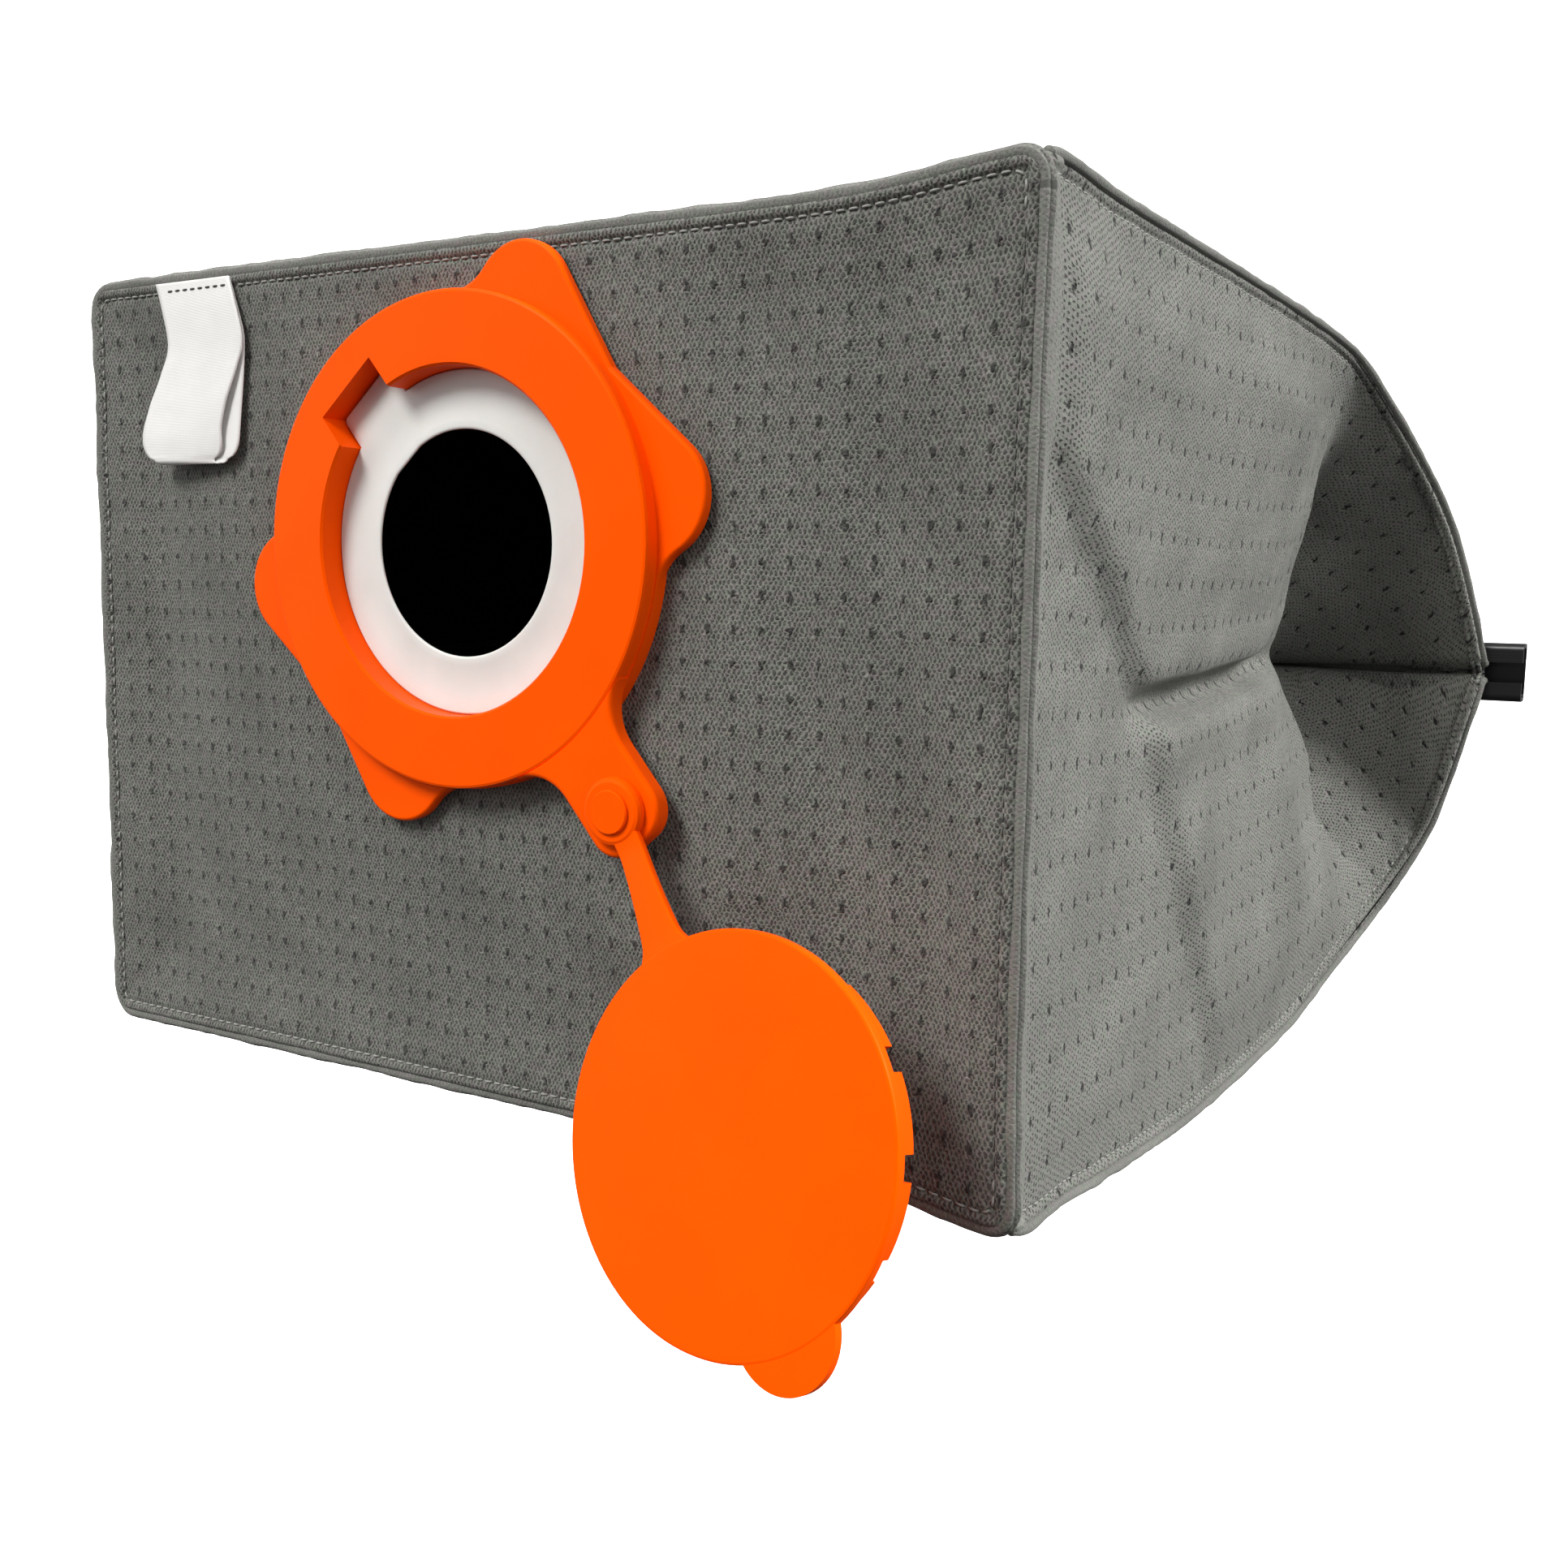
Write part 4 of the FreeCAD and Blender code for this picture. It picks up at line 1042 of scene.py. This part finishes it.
path, out = rounded_loop(-0.5, 6.5, 1.6)
path[:, 1] = 0.9
out = unit(out * 0.9 + np.array([0, -0.45, 0]))
piece = sweep("front_seam_edge", path, out, wavy_section(lip_section(2.0, 2.2, 0.85), path, 61),
              closed=True)
welts = {"front": dress(piece, WELT_MAT, "front_seam_welt")}
for word, seam, up, seed in (("top", TOP_SEAM, 1, 72), ("bottom", LOW_SEAM, -1, 70)):
    for hand, side in (("right", 1), ("left", -1)):
        corner = word + "_" + hand
        piece = long_seam_edge(corner + "_seam_edge", seam, up, side, seed)
        welts[corner] = dress(piece, WELT_MAT, corner + "_seam_welt")

threads = front_threads()
for word, lines in side_lines.items():
    threads[word] = stitches(word + "_stitches", lines, LIGHT_THREAD, 0.26)
hem = folded_hem()
label = care_label()
flexible_strap()
soft_gasket()

# Moulded parts keep their CAD shapes and get their finish here.
for node in ("collar_flange", "collar_ring", "backing_ring", "pivot_pin", "cap_eyelet",
             "closure_cap"):
    paint(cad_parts[node], ORANGE_MAT)
paint(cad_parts["closure_rail"], RAIL_MAT)

# ---- camera, light and floor ----

right = Vector((0.85827, 0.51291, 0.01752))
back = Vector((0.50726, -0.85301, 0.12271))
turn = Matrix((right, back.cross(right), back)).transposed().to_4x4()
lens = bpy.data.cameras.new("camera")
lens.sensor_width = 36
lens.lens = 36.325
lens.clip_start = 0.01
camera = bpy.data.objects.new("camera", lens)
camera.matrix_world = Matrix.Translation((0.29216, -0.32480, -0.01030)) @ turn
bpy.context.scene.collection.objects.link(camera)
bpy.context.scene.camera = camera


def soft_sun(name, towards, strength, spread, colour):
    """Even light from a far window: towards is the direction of the window."""
    data = bpy.data.lights.new(name, "SUN")
    data.energy = strength
    data.angle = math.radians(spread)
    data.color = colour
    light = bpy.data.objects.new(name, data)
    light.rotation_euler = Vector(towards).to_track_quat("Z", "Y").to_euler()
    bpy.context.scene.collection.objects.link(light)


soft_sun("front_window", (-0.26, -0.65, 0.71), 3.25, 24, (1.0, 0.99, 0.965))
soft_sun("side_window", (0.75, 0.27, 0.61), 4.6, 22, (1.0, 1.0, 0.99))
soft_sun("right_window", (0.85, -0.30, 0.43), 0.9, 34, (1.0, 0.99, 0.97))
soft_sun("left_window", (-0.70, -0.66, 0.26), 0.6, 40, (1.0, 0.99, 0.97))

# A dim sky that is brighter above than below.
world = bpy.data.worlds.new("studio")
world.use_nodes = True
sky = world.node_tree
height = sky.nodes.new("ShaderNodeSeparateXYZ")
ramp = sky.nodes.new("ShaderNodeMapRange")
sky.links.new(sky.nodes.new("ShaderNodeTexCoord").outputs["Generated"], height.inputs[0])
sky.links.new(height.outputs[2], ramp.inputs[0])
sky.links.new(ramp.outputs[0], sky.nodes["Background"].inputs[1])
for socket, value in ((1, -0.6), (2, 0.8), (3, 0.08), (4, 0.42)):
    ramp.inputs[socket].default_value = value
sky.nodes["Background"].inputs[0].default_value = (1.0, 1.0, 1.0, 1)
bpy.context.scene.world = world
bpy.context.scene.view_settings.view_transform = "Standard"

# White floor below the bag: like the backdrop, it gives the object no light.
FLOOR_Z, FLOOR_HALF = -0.34, 30.0
floor_mesh = bpy.data.meshes.new("floor")
floor_mesh.from_pydata([(side_x * FLOOR_HALF, side_y * FLOOR_HALF, FLOOR_Z)
                        for side_x, side_y in ((-1, -1), (1, -1), (1, 1), (-1, 1))],
                       [], [(0, 1, 2, 3)])
floor = bpy.data.objects.new("floor", floor_mesh)
bpy.context.scene.collection.objects.link(floor)
paint(floor, white_material("floor_paint", (0.02, 3.0), 0.86, 0.88, 0.8))
floor.visible_diffuse = False
floor.visible_glossy = False

# White backdrop all round, seen by the camera only: it gives the object no light.
bpy.ops.mesh.primitive_uv_sphere_add(segments=48, ring_count=24, radius=26)
backdrop = bpy.context.object
backdrop.name = "backdrop"
paint(backdrop, white_material("backdrop_paint", (0.0002,), 0.9, 0.91, 0.96))
for seen in ("visible_diffuse", "visible_glossy", "visible_transmission", "visible_shadow",
             "visible_volume_scatter"):
    setattr(backdrop, seen, False)
